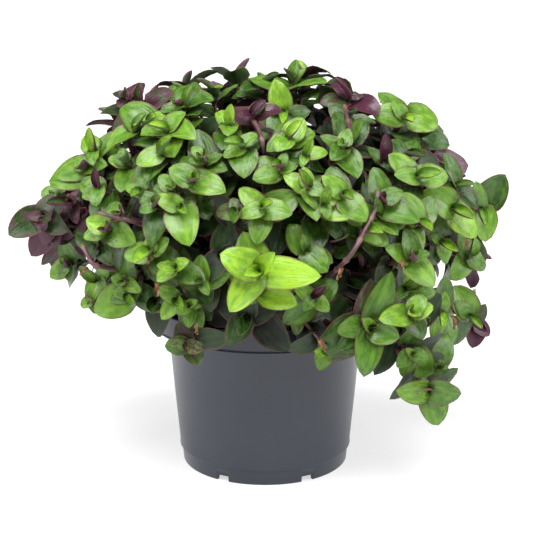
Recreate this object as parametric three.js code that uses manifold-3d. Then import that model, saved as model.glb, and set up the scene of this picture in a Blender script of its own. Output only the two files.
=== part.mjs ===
// A turtle vine (Callisia repens) in a round nursery pot. Millimetres, +Z up, the front is -Y.
// The origin is on the pot's axis, at the plane that its foot stands on.
import * as THREE from "three";
import { mergeVertices } from "three/addons/utils/BufferGeometryUtils.js";
import Module from "manifold-3d";

const wasm = await Module();
wasm.setup();

// Pot
const RIM_RADIUS = 60; // a 12 cm pot
const POT_HEIGHT = 88;
const RIM_BAND_HEIGHT = 12.7;
const RIM_BAND_TAPER = 0.8; // how much narrower the band's lower edge is
const WALL_TOP_RADIUS = 51.8;
const WALL_BOTTOM_RADIUS = 45.8;
const WALL_THICKNESS = 1.6;
const FOOT_HEIGHT = 8.5;
const FOOT_TOP_RADIUS = 44.8;
const FOOT_BOTTOM_RADIUS = 44.1;
const FLOOR_RISE = 4; // the floor's underside stands this high inside the foot ring
const POT_SIDES = 48;
const RIM_LIP_WIDTH = 2.8; // the flat top of the rim
const FOOT_RING_WIDTH = 2.8; // the face that the pot stands on
const EDGE_EASE = 0.4; // the small slope that takes the sharpness off an edge
const LEDGE_EASE = 0.6; // and off the steps under the rim band and over the foot
const BAND_HOLLOW = 3; // the band is hollow down to this far over its lower edge
const NOTCHES = 6;
const NOTCH_HEIGHT = 3.2;
const NOTCH_WIDTH = 7;
const NOTCH_SLOPE = 1.6; // how far one side of a notch leans
const NOTCH_CUT = 12; // the depth of the block that cuts a notch through the foot ring

// Soil
const SOIL_TOP = 77;
const SOIL_CROWN = 2.5; // the surface rises this much in the middle
const SOIL_SIDES = 32;
const SOIL_EDGE = 5; // the soil's rounded shoulder starts this far below its top
const SOIL_CROWN_RADIUS = 30;

// Plant
const GAP = 0.35; // clearance between any two pieces
const MOUND_CENTRE = new THREE.Vector3(0, 0, 100);
const MOUND_RADII = new THREE.Vector3(124, 104, 106);
const FACE_FORWARDS = -0.45; // how much the front tips lean towards the front
const FACE_UPWARDS = 0.25; // and all tips upwards

// Stems
const STEM_RADIUS = 1.5;
const STEM_SIDES = 3;
const STEM_STEPS = 5;
const BRANCH_STEPS = 2;
const BRANCH_AT = 0.62; // the share of a stem's length where its branches leave it
const BRANCH_STAGGER = 0.025; // how that share shifts with each millimetre of sideways bend
const ROOT_LEAST = 6; // the middle stems leave the soil this far from the axis
const ROOT_REACH = 36; // and the outermost this far
const ROOT_SHARE = 0.38; // a root's distance from the axis over its tip's
const ROOT_STAGGER = 5;
const STEM_RISE = 0.42; // the share of its height that a stem climbs straight up
const LEAST_RISE = 22;
const LOW_TIP = POT_HEIGHT + 34; // stems to tips below this height go over the rim
const RIM_CLEARANCE = 7; // above the rim
const RIM_MARGIN = 3; // outside the rim
const TIP_STRAIGHT = 9; // the last stretch of a stem lies along its tip's axis

// How a stem may bend aside to miss the others
const STEM_SPREAD = 50;
const STEM_TRIES = 300;
const LEAST_BEND = 0.4; // the share of the spread that the first tries use
const BEND_RISE = 0.6;
const TIP_GIVE = 0.15; // the share of a stem's sideways bend that its tip follows
const ROOT_GIVE = 0.4; // the share of the bend that its foot follows
const ROOT_LIMIT = 45;

// Leaves
const LEAF_WIDTH_SHARE = 0.7; // a leaf's width over its length
const LEAF_THICKNESS = 1.1;
const LEAF_FOLD = 0.3; // how high a leaf's edges stand, as a share of half its width
const LEAF_LIFT = 14; // degrees that a leaf rises from the plane square to its stem
const LEAF_NODE_STEP = 2.2; // distance along the stem from one leaf to the next
const LEAF_STRETCH = 0.4; // the share of the stem, from its tip back, that leaves may sit on
const LEAF_MIDDLE = 0.42; // where the thickest point lies along the leaf
// A leaf's outline as [share of its length, share of half its width, share of the fold's height]
const LEAF_OUTLINE = [
  [0, 0, 0],
  [0.28, -1, 1],
  [0.68, -0.72, 0.6],
  [1, 0, -0.6],
  [0.68, 0.72, 0.6],
  [0.28, 1, 1],
];
// The changes of pose that a leaf tries, in this order, until it is clear of the other shoots
const POSE_SHRINKS = [1, 0.85, 0.7];
const POSE_LIFTS = [0, 10, -10, 22, 34, 48];
const POSE_TURNS = [0, 12, -12, 24, -24];

// Shoots at the back, spread evenly by the golden ratio
const BACK_SHOOTS = 14;
const BACK_TRIES = 60;
const BACK_TIPS = 4;
const BACK_SPACING = 40;
const BACK_LEAST_Y = 22;
const BACK_LOWEST = 0.08; // as shares of the mound's height over its centre
const BACK_HEIGHTS = 0.86;
const BACK_FIRST_TURN = -4; // degrees about +Z from +X
const BACK_TURN_STEP = 37.5;
const BACK_TURNS = 188;
const BACK_LEAF_LENGTHS = [18, 20, 17];
const BACK_LEAF_TURN = 155; // degrees from each leaf to the next
const SIDE_TIP_DISTANCE = 23;
const SIDE_TIP_TURN = 120;
const SIDE_TIP_STAGGER = 40;
const GOLDEN = 0.618034;

// Colours
const POT_COLOUR = 0x4b4f59;
const SOIL_COLOUR = 0x2b1f18;
const LEAF_COLOUR = 0x5c8f3a;
const PURPLE_COLOUR = 0x603c4d;
const PURPLE_SHOOTS = ["left_far_purple", "left_purple", "right_purple"];

const UP = new THREE.Vector3(0, 0, 1);
const degrees = THREE.MathUtils.degToRad;

// The shoots that face the front, each a stem with one to three leafy tips. A tip is where its
// youngest leaves sit. Each leaf is [turn in degrees, length], or [turn, length, lift]: it lies square
// to the tip's axis, or lifts that many degrees towards it, and its turn is counted from the viewer's
// right, anticlockwise. A tip without an axis of its own faces out of the mound, a little upwards and
// forwards.
const FRONT_SHOOTS = [
  {
    name: "top",
    tips: [
      {
        at: [14, 5, 202],
        leaves: [[160, 24], [-35, 22], [70, 12, 65], [40, 12, 40]],
        axis: [0, -0.2, 1],
      },
      { at: [9, -25, 191], leaves: [[105, 17]], axis: [0, -1, 0.35] },
      { at: [0, 15, 198], leaves: [[-140, 17], [-165, 17], [165, 8]], axis: [0, -0.5, 1] },
    ],
  },
  {
    name: "top_purple",
    tips: [
      { at: [-6, -50, 193], leaves: [[50, 10], [15, 15], [-140, 8]] },
      { at: [-17, -55, 189], leaves: [[-85, 11], [125, 12]] },
    ],
  },
  {
    name: "top_left",
    tips: [
      { at: [-27, 0, 198], leaves: [[-40, 20], [130, 8]] },
      { at: [-40, 0, 195], leaves: [[180, 24], [35, 12], [110, 11]] },
    ],
  },
  {
    name: "top_left_low",
    tips: [
      { at: [-38, -34, 195], leaves: [[0, 15], [-115, 9]] },
      { at: [-41, -33, 194], leaves: [[-155, 11], [115, 8]] },
    ],
  },
  {
    name: "upper_left",
    tips: [
      { at: [-57, -38, 186], leaves: [[40, 15], [-175, 9]] },
    ],
  },
  {
    name: "upper_left_arch",
    tips: [
      { at: [-47, -48, 185], leaves: [[-10, 23], [-60, 23], [50, 13], [-165, 14]] },
      { at: [-29, -69, 176], leaves: [[140, 8], [-20, 12], [-170, 8], [25, 9]] },
    ],
  },
  {
    name: "upper_left_round",
    tips: [
      { at: [-49, -60, 176], leaves: [[150, 15], [-140, 13]] },
      { at: [-43, -76, 162], leaves: [[175, 11], [140, 10]] },
    ],
  },
  {
    name: "left_crown_purple",
    tips: [
      { at: [-71, -5, 195], leaves: [[85, 15], [180, 8], [55, 10], [-75, 8]], axis: [-0.4, -0.5, 1] },
      { at: [-61, -15, 193], leaves: [[-115, 25], [-105, 15], [25, 19]], axis: [-0.5, -0.7, 0.6] },
    ],
  },
  {
    name: "left_crown_green",
    tips: [
      { at: [-84, -28, 172], leaves: [[45, 18], [-60, 11], [150, 14]] },
      { at: [-63, -37, 183], leaves: [[-130, 18]] },
    ],
  },
  {
    name: "left_big",
    tips: [
      {
        at: [-88, -30, 163],
        leaves: [[-160, 25], [155, 10], [5, 15], [-155, 18]],
        axis: [-0.5, -0.8, 0.6],
      },
      { at: [-80, -54, 159], leaves: [[170, 15], [-75, 11], [-145, 11]] },
    ],
  },
  {
    name: "left_inner",
    tips: [
      { at: [-66, -53, 171], leaves: [[175, 12], [170, 8], [-85, 17], [135, 9]] },
      { at: [-58, -71, 160], leaves: [[100, 8], [165, 10], [-30, 11]] },
    ],
  },
  {
    name: "left_inner_low",
    tips: [
      { at: [-51, -78, 155], leaves: [[165, 10], [-150, 9]] },
      { at: [-68, -72, 150], leaves: [[130, 12], [165, 9]] },
    ],
  },
  {
    name: "middle_left",
    tips: [
      { at: [-33, -77, 166], leaves: [[-20, 18], [165, 14]] },
      { at: [-11, -66, 181], leaves: [[-85, 18], [45, 10], [-140, 11]] },
    ],
  },
  {
    name: "middle_left_low",
    tips: [
      { at: [-39, -80, 154], leaves: [[155, 14], [-70, 21]] },
      { at: [-13, -84, 153], leaves: [[175, 11], [-145, 16], [110, 8]] },
    ],
  },
  {
    name: "middle_top",
    tips: [
      { at: [11, -63, 184], leaves: [[-145, 13], [25, 15], [55, 14], [-125, 12]] },
      { at: [7, -73, 172], leaves: [[155, 15], [65, 8], [5, 9], [-160, 14]] },
    ],
  },
  {
    name: "middle_right_top",
    tips: [
      { at: [19, -69, 177], leaves: [[5, 11], [-110, 8]] },
      { at: [37, -61, 180], leaves: [[140, 13], [65, 10], [-75, 18], [-135, 12]] },
    ],
  },
  {
    name: "middle",
    tips: [
      { at: [20, -81, 164], leaves: [[140, 13], [-25, 10], [100, 10]] },
      { at: [-1, -88, 156], leaves: [[135, 16], [-10, 15], [-100, 17], [-165, 12]] },
    ],
  },
  {
    name: "middle_right",
    tips: [
      { at: [27, -85, 157], leaves: [[160, 14], [-80, 8], [-20, 16], [45, 10]] },
      { at: [36, -80, 160], leaves: [[135, 13], [-40, 16]] },
    ],
  },
  {
    name: "crown_right_purple",
    tips: [
      { at: [42, -10, 196], leaves: [[130, 14], [-45, 19], [-170, 16], [0, 8]], axis: [0.1, -0.5, 1] },
      { at: [41, -30, 187], leaves: [[145, 13], [0, 14]], axis: [0, -0.6, 1] },
    ],
  },
  {
    name: "crown_right",
    tips: [
      { at: [70, -15, 186], leaves: [[-25, 18], [175, 17], [125, 11]], axis: [0.2, -1, 0.5] },
      { at: [78, -5, 175], leaves: [[-20, 18], [10, 18], [-160, 16]], axis: [0.4, -0.8, 0.6] },
    ],
  },
  {
    name: "right_high",
    tips: [
      { at: [73, -53, 163], leaves: [[130, 18], [-5, 17], [175, 15]] },
      { at: [87, -10, 161], leaves: [[-5, 20], [115, 8], [-55, 14]], axis: [0.5, -1, 0.3] },
    ],
  },
  {
    name: "right_high_dark",
    tips: [
      { at: [69, -40, 171], leaves: [[40, 13], [130, 12], [175, 14]] },
      { at: [57, -45, 170], leaves: [[120, 10], [-70, 8], [-25, 10]] },
    ],
  },
  {
    name: "right_tube",
    tips: [
      { at: [55, -73, 156], leaves: [[95, 18], [-35, 22], [20, 12], [135, 15]] },
      { at: [52, -72, 148], leaves: [[-50, 14], [180, 16], [-15, 17]] },
    ],
  },
  {
    name: "right_edge",
    tips: [
      { at: [112, 10, 134], leaves: [[100, 15], [-85, 18]], axis: [0.4, -1, 0.2] },
      { at: [93, -35, 144], leaves: [[150, 19], [-50, 20]], axis: [0.4, -1, 0.3] },
    ],
  },
  {
    name: "right_edge_low",
    tips: [
      { at: [88, -35, 127], leaves: [[115, 18], [150, 8], [-90, 13]], axis: [0.4, -1, 0.2] },
      { at: [104, -20, 117], leaves: [[115, 15], [-45, 14], [-135, 17]], axis: [0.5, -0.8, 0.2] },
    ],
  },
  {
    name: "right_middle",
    tips: [
      { at: [69, -75, 129], leaves: [[100, 14], [5, 9], [155, 15], [-55, 19]] },
      { at: [46, -78, 143], leaves: [[-15, 15], [-35, 12], [155, 10]] },
    ],
  },
  {
    name: "right_rim",
    tips: [
      { at: [69, -78, 103], leaves: [[-175, 17], [15, 12], [45, 11]], axis: [0.25, -1, 0.5] },
      { at: [68, -65, 111], leaves: [[-145, 9], [-10, 16], [60, 9]], axis: [0.3, -1, 0.5] },
    ],
  },
  {
    name: "right_big",
    tips: [
      {
        at: [50, -78, 95],
        leaves: [[70, 30], [-145, 26], [-100, 23], [-20, 15]],
        axis: [0.1, -1, 0.3],
      },
      { at: [45, -70, 98], leaves: [[75, 20], [-160, 17]], axis: [0.1, -1, 0.3] },
    ],
  },
  {
    name: "right_hanging",
    tips: [
      { at: [79, -75, 63], leaves: [[170, 19], [-5, 16], [-75, 19]], axis: [0.1, -1, -0.1] },
      {
        at: [71, -70, 80],
        leaves: [[-55, 18], [-135, 10], [-20, 9], [-105, 13]],
        axis: [0.2, -1, 0.1],
      },
      { at: [85, -60, 70], leaves: [[-55, 9]], axis: [0.2, -1, 0.1] },
    ],
  },
  {
    name: "right_hanging_back",
    tips: [
      { at: [88, -40, 92], leaves: [[-115, 15], [75, 11], [-70, 17]], axis: [0.4, -1, 0.2] },
      { at: [74, -50, 90], leaves: [[-90, 11], [-135, 9]], axis: [0.2, -1, 0.1] },
    ],
  },
  {
    name: "right_purple",
    tips: [
      {
        at: [118, 48, 61],
        leaves: [[60, 12], [-45, 12], [-105, 15], [150, 11], [105, 16]],
        axis: [0.3, -1, 0.1],
      },
      { at: [112, 25, 71], leaves: [[105, 20], [135, 13]], axis: [0.4, -1, 0.2] },
    ],
  },
  {
    name: "front",
    tips: [
      { at: [-3, -100, 129], leaves: [[155, 19], [-5, 29], [45, 14], [-125, 23]], axis: [0, -1, 0.35] },
      { at: [-2, -88, 116], leaves: [[-20, 18], [-115, 21]], axis: [0, -1, 0.25] },
    ],
  },
  {
    name: "front_right",
    tips: [
      { at: [23, -82, 112], leaves: [[35, 14], [150, 11], [-125, 9], [-45, 10]], axis: [0, -1, 0.4] },
      { at: [19, -81, 134], leaves: [[-50, 15], [120, 15], [-25, 15]] },
    ],
  },
  {
    name: "front_left",
    tips: [
      { at: [-42, -86, 127], leaves: [[-135, 11], [25, 8]] },
      { at: [-30, -84, 120], leaves: [[95, 13], [20, 15], [-60, 8]] },
    ],
  },
  {
    name: "front_left_low",
    tips: [
      {
        at: [-36, -75, 106],
        leaves: [[100, 14], [-140, 8], [-90, 11], [-60, 13], [15, 8]],
        axis: [-0.1, -1, 0.3],
      },
      { at: [-42, -72, 108], leaves: [[-125, 13], [155, 11]], axis: [-0.2, -1, 0.3] },
    ],
  },
  {
    name: "left_trailing",
    tips: [
      {
        at: [-38, -72, 85],
        leaves: [[-175, 11], [105, 11], [-65, 13], [-15, 9], [175, 8]],
        axis: [-0.1, -1, 0.2],
      },
    ],
  },
  {
    name: "rim_small",
    tips: [
      { at: [16, -68, 99], leaves: [[-175, 8], [-95, 11]], axis: [0, -1, 0.2] },
      { at: [29, -72, 83], leaves: [[-105, 11], [10, 8]], axis: [0.1, -1, 0.1] },
    ],
  },
  {
    name: "left_middle",
    tips: [
      { at: [-74, -72, 142], leaves: [[-155, 13], [-10, 16], [165, 12]] },
      { at: [-54, -82, 134], leaves: [[-170, 15], [85, 8], [40, 11]] },
    ],
  },
  {
    name: "left_low",
    tips: [
      { at: [-83, -40, 126], leaves: [[-35, 16], [-135, 9], [160, 15]], axis: [-0.5, -1, 0.3] },
      { at: [-68, -62, 114], leaves: [[-25, 10], [170, 8]], axis: [-0.3, -1, 0.4] },
      { at: [-67, -55, 106], leaves: [[-135, 21], [-180, 8], [-155, 11]], axis: [-0.3, -1, 0.1] },
    ],
  },
  {
    name: "left_low_round",
    tips: [
      { at: [-83, -45, 111], leaves: [[-110, 14], [-35, 8], [40, 9]], axis: [-0.4, -1, 0.2] },
      { at: [-87, -40, 99], leaves: [[-140, 8], [-75, 8]], axis: [-0.4, -1, 0.1] },
    ],
  },
  {
    name: "left_low_dark",
    tips: [
      { at: [-53, -55, 102], leaves: [[120, 8], [150, 9], [-125, 8]], axis: [-0.2, -1, 0.3] },
    ],
  },
  {
    name: "left_far_purple",
    tips: [
      {
        at: [-109, -40, 141],
        leaves: [[-145, 20], [-175, 8], [55, 14], [-65, 9]],
        axis: [-0.3, -1, 0.4],
      },
      { at: [-107, -30, 134], leaves: [[-125, 21], [-120, 12], [-75, 12]], axis: [-0.4, -1, 0.1] },
    ],
  },
  {
    name: "left_purple",
    tips: [
      {
        at: [-96, -35, 146],
        leaves: [[-95, 10], [-55, 11], [60, 9], [-165, 11], [150, 11]],
        axis: [-0.6, -0.8, 0.5],
      },
      { at: [-88, -35, 142], leaves: [[-125, 17]], axis: [-0.4, -1, 0.2] },
    ],
  },
  {
    name: "left_far_green",
    tips: [
      {
        at: [-101, -20, 112],
        leaves: [[-140, 14], [-115, 9], [-75, 9], [105, 15]],
        axis: [-0.5, -1, 0.2],
      },
      { at: [-106, -15, 145], leaves: [[170, 13], [-145, 9]], axis: [-0.6, -0.8, 0.4] },
    ],
  },
];

// ---------- shared tools ----------

// A repeatable stream of numbers from 0 to 1.
function randomStream(seed) {
  let state = seed;
  return () => {
    state = (state + 0x6d2b79f5) | 0;
    let t = Math.imul(state ^ (state >>> 15), state | 1);
    t ^= t + Math.imul(t ^ (t >>> 7), t | 61);
    return ((t ^ (t >>> 14)) >>> 0) / 4294967296;
  };
}

function solidFrom(geometry) {
  const bare = new THREE.BufferGeometry();
  bare.setAttribute("position", geometry.getAttribute("position"));
  if (geometry.index) bare.setIndex(geometry.index);
  const merged = mergeVertices(bare, 1e-4);
  return new wasm.Manifold(
    new wasm.Mesh({
      numProp: 3,
      vertProperties: new Float32Array(merged.attributes.position.array),
      triVerts: new Uint32Array(merged.index.array),
    }),
  );
}

function geometryFrom(solid) {
  const mesh = solid.getMesh();
  const geometry = new THREE.BufferGeometry();
  geometry.setAttribute("position", new THREE.BufferAttribute(mesh.vertProperties, 3));
  geometry.setIndex(new THREE.BufferAttribute(mesh.triVerts, 1));
  geometry.computeVertexNormals();
  return geometry;
}

function named(name, geometry, color, roughness) {
  const material = new THREE.MeshStandardMaterial({ color, roughness, metalness: 0 });
  const mesh = new THREE.Mesh(geometry, material);
  mesh.name = name;
  return mesh;
}

// A lathe about +Z from [radius, height] pairs.
function turned(profile, sides) {
  const points = profile.map(([radius, height]) => new THREE.Vector2(radius, height));
  const geometry = new THREE.LatheGeometry(points, sides);
  return geometry.rotateX(Math.PI / 2);
}

// ---------- pot and soil ----------

function wallRadius(height) {
  const share = (height - FOOT_HEIGHT) / (POT_HEIGHT - RIM_BAND_HEIGHT - FOOT_HEIGHT);
  return THREE.MathUtils.lerp(WALL_BOTTOM_RADIUS, WALL_TOP_RADIUS, share);
}

function potSolid() {
  const bandBottom = POT_HEIGHT - RIM_BAND_HEIGHT;
  const lipInside = RIM_RADIUS - RIM_LIP_WIDTH;
  const shell = solidFrom(
    turned(
      [
        [0, FLOOR_RISE],
        [FOOT_BOTTOM_RADIUS - FOOT_RING_WIDTH, FLOOR_RISE],
        [FOOT_BOTTOM_RADIUS - FOOT_RING_WIDTH, 0],
        [FOOT_BOTTOM_RADIUS, 0],
        [FOOT_TOP_RADIUS, FOOT_HEIGHT - LEDGE_EASE],
        [WALL_BOTTOM_RADIUS, FOOT_HEIGHT],
        [WALL_TOP_RADIUS, bandBottom + LEDGE_EASE],
        [RIM_RADIUS - RIM_BAND_TAPER, bandBottom],
        [RIM_RADIUS, POT_HEIGHT - EDGE_EASE],
        [RIM_RADIUS - EDGE_EASE, POT_HEIGHT],
        [lipInside, POT_HEIGHT],
        [lipInside - LEDGE_EASE, bandBottom + BAND_HOLLOW],
        [WALL_TOP_RADIUS - WALL_THICKNESS, bandBottom + EDGE_EASE],
        [WALL_BOTTOM_RADIUS - WALL_THICKNESS, FOOT_HEIGHT],
        [FOOT_TOP_RADIUS - WALL_THICKNESS, FLOOR_RISE + WALL_THICKNESS],
        [0, FLOOR_RISE + WALL_THICKNESS],
      ],
      POT_SIDES,
    ),
  );
  const outline = new THREE.Shape([
    new THREE.Vector2(-NOTCH_WIDTH / 2, -1),
    new THREE.Vector2(NOTCH_WIDTH / 2, -1),
    new THREE.Vector2(NOTCH_WIDTH / 2 - NOTCH_SLOPE, NOTCH_HEIGHT),
    new THREE.Vector2(-NOTCH_WIDTH / 2, NOTCH_HEIGHT),
  ]);
  let pot = shell;
  for (let i = 0; i < NOTCHES; i += 1) {
    const cutter = new THREE.ExtrudeGeometry(outline, { depth: NOTCH_CUT, bevelEnabled: false });
    cutter.rotateX(Math.PI / 2);
    cutter.translate(0, -FOOT_BOTTOM_RADIUS + NOTCH_CUT / 2, 0);
    cutter.rotateZ(degrees(((i + 0.5) * 360) / NOTCHES));
    pot = pot.subtract(solidFrom(cutter));
  }
  return pot;
}

function soilSolid() {
  const low = FLOOR_RISE + WALL_THICKNESS + GAP;
  const inset = WALL_THICKNESS + GAP + EDGE_EASE;
  const shoulder = wallRadius(SOIL_TOP - SOIL_EDGE) - inset;
  return solidFrom(
    turned(
      [
        [0, low],
        [FOOT_TOP_RADIUS - inset - EDGE_EASE, low],
        [WALL_BOTTOM_RADIUS - inset - EDGE_EASE, FOOT_HEIGHT + EDGE_EASE],
        [shoulder, SOIL_TOP - SOIL_EDGE],
        [shoulder - LEDGE_EASE, SOIL_TOP],
        [SOIL_CROWN_RADIUS, SOIL_TOP + SOIL_CROWN * 0.7],
        [0, SOIL_TOP + SOIL_CROWN],
      ],
      SOIL_SIDES,
    ),
  );
}

// ---------- plant ----------

// The direction that a tip at this place faces.
function tipAxis(at) {
  const out = at.clone().sub(MOUND_CENTRE).divide(MOUND_RADII).divide(MOUND_RADII);
  out.z = Math.max(out.z, 0);
  out.normalize();
  const forwards = at.y < 0 ? FACE_FORWARDS : 0;
  return out.add(new THREE.Vector3(0, forwards, FACE_UPWARDS)).normalize();
}

// The two directions square to a tip's axis: its right and its upward one.
function tipPlane(axis) {
  const right = UP.clone().cross(axis).normalize();
  return { right, rise: axis.clone().cross(right) };
}

// The shoots at the back: evenly spread points on the mound, each with side tips around it.
function backShoots() {
  const random = randomStream(7);
  const shoots = [];
  for (let i = 0; shoots.length < BACK_SHOOTS && i < BACK_TRIES; i += 1) {
    const height = BACK_LOWEST + BACK_HEIGHTS * ((i * GOLDEN) % 1);
    const turn = degrees(BACK_FIRST_TURN + ((i * BACK_TURN_STEP) % BACK_TURNS));
    const ring = Math.sqrt(1 - height * height);
    const place = new THREE.Vector3(ring * Math.cos(turn), ring * Math.sin(turn), height);
    const at = place.multiply(MOUND_RADII).add(MOUND_CENTRE);
    const crowded = shoots.some((other) => other.tips[0].at.distanceTo(at) < BACK_SPACING);
    if (crowded || at.y < BACK_LEAST_Y) continue;
    const { right, rise } = tipPlane(tipAxis(at));
    const tips = [];
    for (let k = 0; k < BACK_TIPS; k += 1) {
      const around = degrees(90 + k * SIDE_TIP_TURN + SIDE_TIP_STAGGER * random());
      const distance = k === 0 ? 0 : SIDE_TIP_DISTANCE;
      const spot = at.clone();
      spot.addScaledVector(right, distance * Math.cos(around));
      spot.addScaledVector(rise, distance * Math.sin(around));
      const first = 360 * random();
      const leaves = BACK_LEAF_LENGTHS.map((length, n) => [first + n * BACK_LEAF_TURN, length]);
      tips.push({ at: ontoMound(spot), leaves });
    }
    shoots.push({ name: `back_${shoots.length + 1}`, tips });
  }
  return shoots;
}

function ontoMound(spot) {
  const from = spot.clone().sub(MOUND_CENTRE);
  from.divideScalar(from.clone().divide(MOUND_RADII).length());
  return from.add(MOUND_CENTRE);
}

// A stem's path from the soil to a tip: up out of the pot, over the rim where the tip is low, and
// into the tip along its axis.
function stemCurve(at, axis, index, bend) {
  const flat = new THREE.Vector3(at.x, at.y, 0);
  const outward = flat.clone().normalize();
  const wanted = ROOT_LEAST + flat.length() * ROOT_SHARE + ROOT_STAGGER * ((index * GOLDEN) % 1);
  const root = outward.clone().multiplyScalar(Math.min(ROOT_REACH, wanted));
  root.addScaledVector(bend, ROOT_GIVE);
  root.clampLength(0, ROOT_LIMIT);
  root.z = SOIL_TOP + SOIL_CROWN + GAP;
  const climb = Math.max(at.z - SOIL_TOP, LEAST_RISE) * STEM_RISE;
  const points = [root, root.clone().addScaledVector(UP, climb).add(bend)];
  if (flat.length() > RIM_RADIUS && at.z < LOW_TIP) {
    points[1].z = Math.max(points[1].z, POT_HEIGHT + RIM_CLEARANCE);
    const over = outward.clone().multiplyScalar(RIM_RADIUS + RIM_MARGIN).add(bend);
    over.z = Math.max(POT_HEIGHT + RIM_CLEARANCE, at.z);
    const left = Math.hypot(at.x - over.x, at.y - over.y);
    if (left > RIM_CLEARANCE) points.push(over);
  }
  const end = at.clone().addScaledVector(bend, TIP_GIVE);
  points.push(end.clone().addScaledVector(axis, -TIP_STRAIGHT), end);
  return new THREE.CatmullRomCurve3(points, false, "centripetal");
}

function tube(curve, radius, steps) {
  const section = new THREE.Shape();
  for (let i = 0; i < STEM_SIDES; i += 1) {
    const angle = (i / STEM_SIDES) * 2 * Math.PI;
    const x = radius * Math.cos(angle);
    const y = radius * Math.sin(angle);
    if (i === 0) section.moveTo(x, y);
    else section.lineTo(x, y);
  }
  section.closePath();
  return solidFrom(new THREE.ExtrudeGeometry(section, { steps, extrudePath: curve }));
}

// A leaf: an ovate outline round one high and one low middle point, folded along its length.
function leafSolid(base, axis, turn, length, lift) {
  const { right, rise } = tipPlane(axis);
  const across = right.clone().multiplyScalar(Math.cos(turn));
  across.addScaledVector(rise, Math.sin(turn));
  const along = across.clone().multiplyScalar(Math.cos(lift)).addScaledVector(axis, Math.sin(lift));
  const side = axis.clone().cross(along).normalize();
  const normal = along.clone().cross(side).normalize();
  const half = (length * LEAF_WIDTH_SHARE) / 2;
  const fold = half * LEAF_FOLD;
  const place = (s, w, h) =>
    base
      .clone()
      .addScaledVector(along, s * length)
      .addScaledVector(side, w * half)
      .addScaledVector(normal, h);
  const points = LEAF_OUTLINE.map(([s, w, h]) => place(s, w, h * fold));
  const sides = points.length;
  points.push(place(LEAF_MIDDLE, 0, LEAF_THICKNESS / 2), place(LEAF_MIDDLE, 0, -LEAF_THICKNESS / 2));
  const faces = [];
  for (let i = 0; i < sides; i += 1) {
    const next = (i + 1) % sides;
    faces.push(i, next, sides);
    faces.push(next, i, sides + 1);
  }
  const geometry = new THREE.BufferGeometry().setFromPoints(points);
  geometry.setIndex(faces);
  return solidFrom(geometry);
}

// Keeps what is already placed, and says whether a new solid stays clear of other pieces' solids.
class Neighbours {
  constructor() {
    this.placed = [];
  }

  add(owner, solid) {
    const box = solid.boundingBox();
    this.placed.push({ owner, solid, box });
  }

  clear(owner, solid) {
    const box = solid.boundingBox();
    const apart = (other) =>
      [0, 1, 2].some(
        (k) => box.min[k] > other.max[k] + GAP || box.max[k] < other.min[k] - GAP,
      );
    return this.placed.every(
      (other) =>
        other.owner === owner || apart(other.box) || solid.minGap(other.solid, GAP) >= GAP,
    );
  }
}

// The point at a share of the way along a line of evenly spaced points.
function pointOn(line, share) {
  const place = share * (line.length - 1);
  const first = Math.min(Math.floor(place), line.length - 2);
  return line[first].clone().lerp(line[first + 1], place - first);
}

// Tries poses in turn and returns the first solid that stays clear of the others.
function firstClear(neighbours, owner, poses, make) {
  for (const pose of poses) {
    const solid = make(pose);
    if (neighbours.clear(owner, solid)) return solid;
  }
  return null;
}

function bends(random, spread, count) {
  const list = [new THREE.Vector3()];
  for (let i = 1; i < count; i += 1) {
    const size = spread * (LEAST_BEND + i / count);
    const way = new THREE.Vector3(random() - 0.5, random() - 0.5, random() * BEND_RISE);
    list.push(way.multiplyScalar(size));
  }
  return list;
}

function leafPoses() {
  const poses = [];
  for (const shrink of POSE_SHRINKS) {
    for (const lift of POSE_LIFTS) {
      for (const turn of POSE_TURNS) poses.push({ shrink, lift, turn });
    }
  }
  return poses;
}

// One shoot's stems: the first tip's stem comes out of the soil, and the others branch off it.
function stemsOf(shoot, index, neighbours, random) {
  const owner = shoot.name;
  const solids = [];
  shoot.tips.forEach((tip, n) => {
    const at = tip.at;
    const steps = n === 0 ? STEM_STEPS : BRANCH_STEPS;
    const make = (bend) => {
      let curve;
      if (n === 0) curve = stemCurve(at, tip.axis, index, bend);
      else {
        const share = BRANCH_AT + (bend.x % 10) * BRANCH_STAGGER;
        const start = pointOn(shoot.tips[0].line, share);
        const middle = start.clone().lerp(at, 0.5).add(bend);
        const end = at.clone().addScaledVector(bend, TIP_GIVE);
        curve = new THREE.CatmullRomCurve3([start, middle, end]);
      }
      tip.line = curve.getSpacedPoints(steps);
      return tube(curve, STEM_RADIUS, steps);
    };
    const solid = firstClear(neighbours, owner, bends(random, STEM_SPREAD, STEM_TRIES), make);
    if (!solid) throw new Error(`no clear path for stem ${n + 1} of ${owner}`);
    neighbours.add(owner, solid);
    solids.push(solid);
  });
  return solids;
}

function leavesOf(shoot, neighbours) {
  const solids = [];
  for (const tip of shoot.tips) {
    const stemLength = tip.line[0].distanceTo(tip.line[1]) * (tip.line.length - 1);
    tip.leaves.forEach(([turn, length, lift = LEAF_LIFT], n) => {
      const share = 1 - Math.min(LEAF_STRETCH, ((n + 0.5) * LEAF_NODE_STEP) / stemLength);
      const base = pointOn(tip.line, share);
      const make = (pose) =>
        leafSolid(
          base,
          tip.axis,
          degrees(turn + pose.turn),
          length * pose.shrink,
          degrees(lift + pose.lift),
        );
      const solid = firstClear(neighbours, shoot.name, leafPoses(), make);
      if (!solid) return;
      neighbours.add(shoot.name, solid);
      solids.push(solid);
    });
  }
  return solids;
}

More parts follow.
